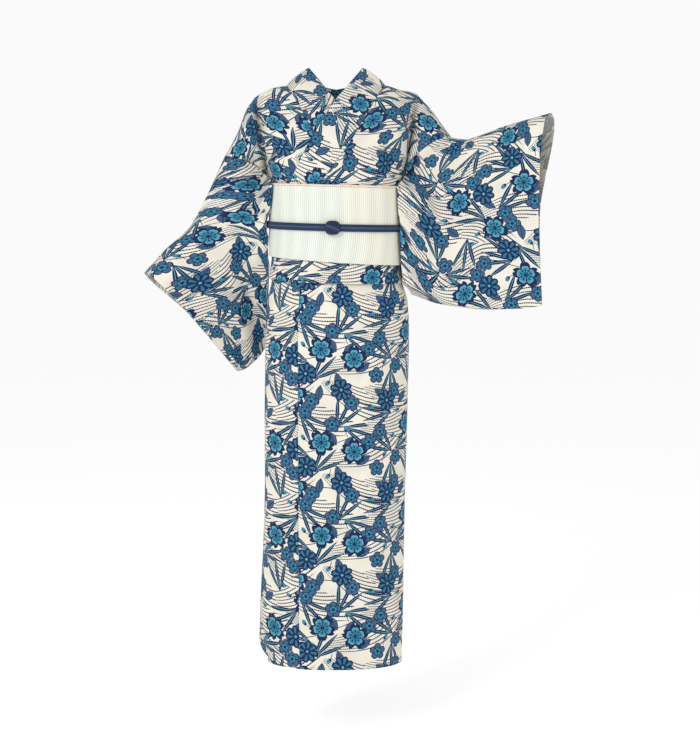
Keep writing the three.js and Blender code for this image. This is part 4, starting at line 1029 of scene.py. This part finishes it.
for side, name, cut in ((1, "overlap_left_body", (0.1, 0.07)), (-1, "overlap_right_body", (0.2, 0.02))):
    rows = tucked_rows(OVERLAP_LEVELS) if side > 0 else PLAIN_ROWS
    low = overlap_low(rows, side, OUTER_EDGE if side > 0 else INNER_EDGE)
    x = mix(seam_x(OVERLAP_HEIGHTS), overlap_x(OVERLAP_HEIGHTS) - SEAM_GAP, OVERLAP_SHARES[None, :])
    grid = bridged(front_point(x, OVERLAP_HEIGHTS, side), low, BRIDGE_ROWS)
    if side > 0:
        grid = grid[::-1]
    flat = lengths_of(grid)
    panel = cloth(name, [name], grid, flat + cut, [print_face, print_back])
    cut_size(flat)

# Collar: one folded band, crossed left over right, standing away behind the neck.
FREE_EDGE_DEPTH = dict(at=[1250, 1262, 1280, 1300, 1320, 1339], y=[-75, -68, -54, -38, -20, -3])
COLLAR_BACK = dict(
    at=[0.26, 0.52, 0.78, 1],
    seam=[103, 83, 50, 0],
    x=[62, 50, 29, 0],
    y=[42, 76, 98, 107],
    z=[1334, 1324, 1314, 1309],
)
COLLAR_RISE, COLLAR_SEAM, COLLAR_LIFT, COLLAR_CLOTH = 40, SEAM_GAP + 0.4, 0.3, 2.0
COLLAR_SHARES = np.linspace(0, 1, 24)
COLLAR_FRONT, COLLAR_TOP = np.linspace(980, 1276, 90), np.array([1284, 1293, 1298.4])
# Heights from which the band stands up and leaves the chest, and over how long a run
STANDS_FROM, STANDS_RUN = 1230, 60
LEAVES_FROM, LEAVES_RUN = 1235, 40
FREE_FROM = 1250


def collar_station(seam, free, side, height):
    """One line across the band from its seam to its free edge. Low down it lies on the chest,
    higher up it stands free as a shallow arch."""
    width = np.linalg.norm(free - seam, axis=-1)[..., None]
    t = mix(COLLAR_SEAM / width, 1, COLLAR_SHARES)[..., None]
    raised = ease((height - STANDS_FROM) / STANDS_RUN)
    bulge = np.stack([side * 3 * raised, mix(-5, -1, raised), 3 * raised], -1)[..., None, :]
    chord = mix(seam[..., None, :], free[..., None, :], t) + 4 * t * (1 - t) * bulge
    weight = ease((height + COLLAR_RISE - LEAVES_FROM) / LEAVES_RUN)[..., None, None]
    natural = front_point(side * chord[..., 0], chord[..., 2], side)
    points = mix(natural, chord, weight)
    points[..., 1] -= COLLAR_LIFT * (1 - raised)[..., None]
    return points


def collar_front(heights, side):
    seam = front_point(seam_x(heights), heights, side)
    top = heights + COLLAR_RISE
    x = column(COLLAR_LINES, "free", top)
    lift = overlay(top) if side > 0 else 0 * top
    edge = np.stack([side * x, column(FREE_EDGE_DEPTH, "y", top) - lift, top], -1)
    free = np.where((top < FREE_FROM)[..., None], front_point(x, top, side), edge)
    return collar_station(seam, free, side, heights)


def collar_back(roll, side):
    x, seam_side = column(COLLAR_BACK, "x", roll), column(COLLAR_BACK, "seam", roll)
    height = roll_height(seam_side, roll, -1, side)
    seam = np.stack([side * seam_side, yoke_depth(seam_side, height, side, -1), height], -1)
    free = np.stack([side * x, column(COLLAR_BACK, "y", roll), column(COLLAR_BACK, "z", roll)], -1)
    t = COLLAR_SHARES[:, None]
    return mix(seam[..., None, :], free[..., None, :], t) + 4 * t * (1 - t) * np.array([0, 3, 0])


def collar_half(side):
    low, high = collar_front(COLLAR_FRONT, side), collar_front(COLLAR_TOP, side)
    behind = collar_back(np.array(COLLAR_BACK["at"]), side)
    return np.concatenate([low, finer(np.concatenate([high, behind]), 7, 1)])


left_half, right_half = collar_half(1), collar_half(-1)
grid = np.concatenate([left_half, right_half[::-1][1:]])[:, ::-1]
flat = lengths_of(grid)
collar = cloth("collar", ["collar"], grid, flat + (0.13, 0.0), [print_face, print_face], COLLAR_CLOTH)
cut_size(flat)

# Sash: one stiffened band wound twice, its second turn stepping over the first behind. Its
# cloth is pale, with fine upright stripes and a soft lustre.
SASH_OUT = dict(inner=12.6, step=2.2, start=0.35, over=0.15)


def sash_out(turn):
    steps = ease((turn - SASH_OUT["start"]) / SASH_OUT["over"])
    steps = steps + ease((turn - 1 - SASH_OUT["start"]) / SASH_OUT["over"])
    return SASH_OUT["inner"] + SASH_OUT["step"] * steps


SASH_GREEN, SASH_CREAM, SASH_GREY = (0.80, 0.83, 0.74, 1), (0.90, 0.85, 0.70, 1), (0.42, 0.47, 0.41, 1)
SASH_WARM_START, SASH_WARM_RUN = 1320, 260  # millimetres along the band, past the front's middle


def sash_material():
    graph = Graph("sash_cloth")
    x, y = graph.parts(graph.place("cloth"))
    pinstripe = (x * 1.4).math("SINE").math("MAXIMUM", 0.0)
    band = (x * 0.173).math("SINE") * 0.08 + 0.08
    drift = graph.node("ShaderNodeTexNoise", {"noise_dimensions": "2D"}, graph.place("cloth"), 0.009, 1)
    warmth = (x - SASH_WARM_START) / SASH_WARM_RUN + drift * 1.4 - 0.7 + y * 0.002
    ground = graph.blend(warmth.math("MINIMUM", 1.0).math("MAXIMUM", 0.0), SASH_GREEN, SASH_CREAM)
    colour = graph.blend(pinstripe * pinstripe * 0.58 + band, ground, SASH_GREY)
    ribs = (y * 4.2).math("SINE") + (x * 6.3).math("SINE") * 0.5
    return graph.finished(colour, 0.6, sheen=0.08, threads=ribs, strength=0.25, height=0.0002)


SASH_DROP, SASH_THICK = 6, 1.3
sash_cloth = sash_material()
sash_turns = np.linspace(-0.5, 1.5, 420)
sash_levels = mix(SASH_BOTTOM, SASH_TOP, closer(34, 0.6))[:, None]
side_drop = np.sin(2 * np.pi * sash_turns)[None, :] * (SASH_TOP - sash_levels) / (SASH_TOP - SASH_BOTTOM)
grid = sash_point(sash_turns[None, :], sash_levels - SASH_DROP * side_drop, sash_out(sash_turns)[None, :])
flat = lengths_of(grid)
sash = cloth("sash", ["sash"], grid, flat, [sash_cloth], SASH_THICK)
cut_size(flat)

# Drum knot: the sash's end laid over a pad, folded in below and hanging as a tail behind.
DRUM_HALF_WIDTH, DRUM_CURVE = 146, 22
DRUM_PROFILE = [
    [124.2, 1052], [124.4, 1082], [130, 1112], [146, 1128], [168, 1124], [186, 1100], [195, 1060],
    [198, 1000], [196, 935], [191, 886], [184, 872], [175, 872], [166, 890], [147, 950],
    [136.8, 984], [136.6, 1006], [134.6, 1009], [132.6, 1006], [132, 980], [132, 930], [136, 870],
    [140, 800],
]
across = np.linspace(-1, 1, 9)
rows = [
    np.stack([across * DRUM_HALF_WIDTH, out - DRUM_CURVE * across**2, height + 0 * across], -1)
    for out, height in DRUM_PROFILE
]
grid = finer(np.array(rows), 7, 6)
flat = lengths_of(grid)
drum = cloth("sash_drum", ["sash_drum"], grid, flat + (0.4, 0.2), [sash_cloth], SASH_THICK)
cut_size(flat)

# Cord: a flat silk braid with a raised dotted rib along its middle, round the sash and through
# the drum, tied in front in a plump square crossing.
CORD = dict(level=981, half_high=8, half_thick=2, out=18.3, back=140, squareness=9, roundness=0.45)
RIB_HIGH, RIB_WIDE = 0.5, 1.6
KNOT = dict(x=-6, half=16.3, high=15.5, deep=7, out=23.3, power=2.8, covers=2)
KNOT_BAND, KNOT_SHOULDER = 0.52, 0.4  # half the upper end's width, and how far its sides lie back
KNOT_GROOVE = dict(at=0.56, wide=0.09, deep=0.35)
# The braid's dark navy, and a lighter navy that is painted highlight on its raised threads
NAVY_SILK, HIGHLIGHT_SILK = (0.006, 0.018, 0.060, 1), (0.085, 0.140, 0.280, 1)


def cord_point(turn, level):
    front = sash_point(turn, level, CORD["out"])
    lean, wide, deep = column(BODY, "lean", level), column(BODY, "wide", level) + CORD["out"], CORD["back"]
    angle = np.arctan2(np.maximum(front[..., 1], 0) / deep, np.abs(front[..., 0] - lean) / wide)
    power = CORD["squareness"]
    radius = (np.abs(np.cos(angle)) ** power + np.abs(np.sin(angle)) ** power) ** (-1 / power)
    x = lean + np.sign(front[..., 0]) * wide * np.cos(angle) * radius
    behind = np.stack([x, deep * np.sin(angle) * radius, front[..., 2]], -1)
    return np.where(front[..., 1:2] < 0, front, behind)


def braid_material():
    graph = Graph("braid")
    x, y = graph.parts(graph.place("cloth"))
    aside = abs(y - CORD["half_high"])
    chevron = ((x + aside) * 2.2).math("SINE")
    rib = (aside < RIB_WIDE) * ((x * 1.4).math("SINE") > -0.1)
    # Painted highlight: the raised dotted rib and the raised threads of the chevron are coloured a lighter
    # navy, as if lit
    painted_highlight = (chevron * 0.5 + 0.5) * 0.16 + rib * 0.84
    colour = graph.blend(painted_highlight.math("MINIMUM", 1.0), NAVY_SILK, HIGHLIGHT_SILK)
    return graph.finished(colour, 0.6, sheen=0.05, specular=0.3, threads=chevron, strength=0.6, height=0.0005)


def closed(name, nodes, grid, flat, material):
    """A solid form from rings of points, each ring closed on itself, with both ends capped."""
    rings, around = grid.shape[:2]
    index = np.arange(rings * around).reshape(rings, around)
    beside = np.roll(index, -1, 1)
    faces = np.stack([index[:-1], beside[:-1], beside[1:], index[1:]], -1).reshape(-1, 4).tolist()
    faces += [index[0, ::-1].tolist(), index[-1].tolist()]
    mesh = bpy.data.meshes.new(name)
    mesh.from_pydata(in_metres(grid).tolist(), [], faces)
    mesh.polygons.foreach_set("use_smooth", np.ones(len(faces), bool))
    corners = np.zeros(len(mesh.loops), int)
    mesh.loops.foreach_get("vertex_index", corners)
    mesh.uv_layers.new(name="cloth").data.foreach_set("uv", flat.reshape(-1, 2)[corners].ravel())
    made = placed(name, mesh, [material])
    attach(made, "root")
    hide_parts(*nodes)
    return made


def knot_turn(x):
    return turn_of(x, CORD["level"], CORD["out"])


def squared(wave):
    return np.sign(wave) * np.abs(wave) ** CORD["roundness"]


braid = braid_material()
cord_ends = KNOT["half"] - KNOT["covers"]
turns = np.linspace(knot_turn(KNOT["x"] + cord_ends), 1 + knot_turn(KNOT["x"] - cord_ends), 900)
middle = cord_point(turns, CORD["level"])
edges = [cord_point(turns, CORD["level"] + half) for half in (CORD["half_high"], -CORD["half_high"])]
up = unit(edges[0] - edges[1])
out = unit(np.cross(np.gradient(middle, axis=0), up))
angles = np.linspace(0, 2 * np.pi, 24, endpoint=False)
high = squared(np.sin(angles)) * CORD["half_high"]
thick = squared(np.cos(angles)) * CORD["half_thick"]
thick += RIB_HIGH * np.exp(-((high / RIB_WIDE) ** 2)) * (np.cos(angles) > 0)
grid = middle[:, None] + up[:, None] * high[None, :, None] + out[:, None] * thick[None, :, None]
run = np.concatenate([[0], np.cumsum(np.linalg.norm(np.diff(middle, axis=0), axis=-1))])
flat = np.stack(np.broadcast_arrays(run[:, None], high[None, :] + CORD["half_high"]), -1) * 0.001
cord = closed("cord", ["cord"], grid, flat, braid)

# The knot's crossing: the end that passes over lies aslant, between two shoulders.
latitude = np.linspace(0.02, np.pi - 0.02, 60)[:, None]
longitude = np.linspace(0, 2 * np.pi, 80, endpoint=False)[None, :]
wide = np.sin(latitude)
ball = np.broadcast_arrays(wide * np.cos(longitude), wide * np.sin(longitude), np.cos(latitude))
x, y, z = ball
plump = (np.abs(np.stack(ball, -1)) ** KNOT["power"]).sum(-1) ** (-1 / KNOT["power"])
front_share = np.clip(-y * 1.5, 0, 1)
slant = (x * 0.35 + z * 0.95) * plump
under = 1 - np.exp(-((np.abs(slant) / KNOT_BAND) ** 6))
groove = np.exp(-(((np.abs(slant) - KNOT_GROOVE["at"]) / KNOT_GROOVE["wide"]) ** 2))
sunk = front_share * (KNOT_SHOULDER * under + KNOT_GROOVE["deep"] * groove)
depth = y * plump * KNOT["deep"] * (1 - sunk)
grid = np.stack([x * plump * KNOT["half"], depth, z * plump * KNOT["high"]], -1)
grid += sash_point(turn_of(KNOT["x"], CORD["level"], KNOT["out"]), CORD["level"], KNOT["out"])
flat = np.stack([x * plump * 16 + z * 5, slant * 15], -1) * 0.001 + CORD["half_high"] * 0.001
knot = closed("cord_knot", ["cord_knot"], grid[:, ::-1], flat[:, ::-1], braid)

# Scarf: the rolled edge of the pad's cover, a thin pinkish line along the sash's top edge.
SCARF = dict(high=2.2, deep=2.9, out=15, turns=0.215, gathers=61, gathered=0.12)
SCARF_PINK, SCARF_CREAM = (0.80, 0.62, 0.52, 1), (0.86, 0.76, 0.62, 1)
scarf_graph = Graph("scarf_cloth")
streak = (scarf_graph.parts(scarf_graph.place("cloth"))[0] * 0.35).math("SINE") * 0.3 + 0.4
scarf_colour = scarf_graph.blend(streak, SCARF_PINK, SCARF_CREAM)
scarf_cloth = scarf_graph.finished(scarf_colour, 0.7, sheen=0.3)
turns = np.linspace(-SCARF["turns"], SCARF["turns"], 260)
angles = np.linspace(0, 2 * np.pi, 16, endpoint=False)
swell = 1 - SCARF["gathered"] * np.sin(turns[:, None] * SCARF["gathers"]) ** 2
outs = SCARF["out"] + swell * SCARF["deep"] * np.cos(angles)[None, :]
ups = SASH_TOP + SEAM_GAP + SCARF["high"] + swell * SCARF["high"] * np.sin(angles)[None, :]
grid = sash_point(turns[:, None] + 0 * outs, ups, outs)
flat = np.stack(np.broadcast_arrays(turns[:, None] * GIRTH, angles[None, :]), -1) * 0.001
scarf = closed("scarf", ["scarf"], grid, flat, scarf_cloth)
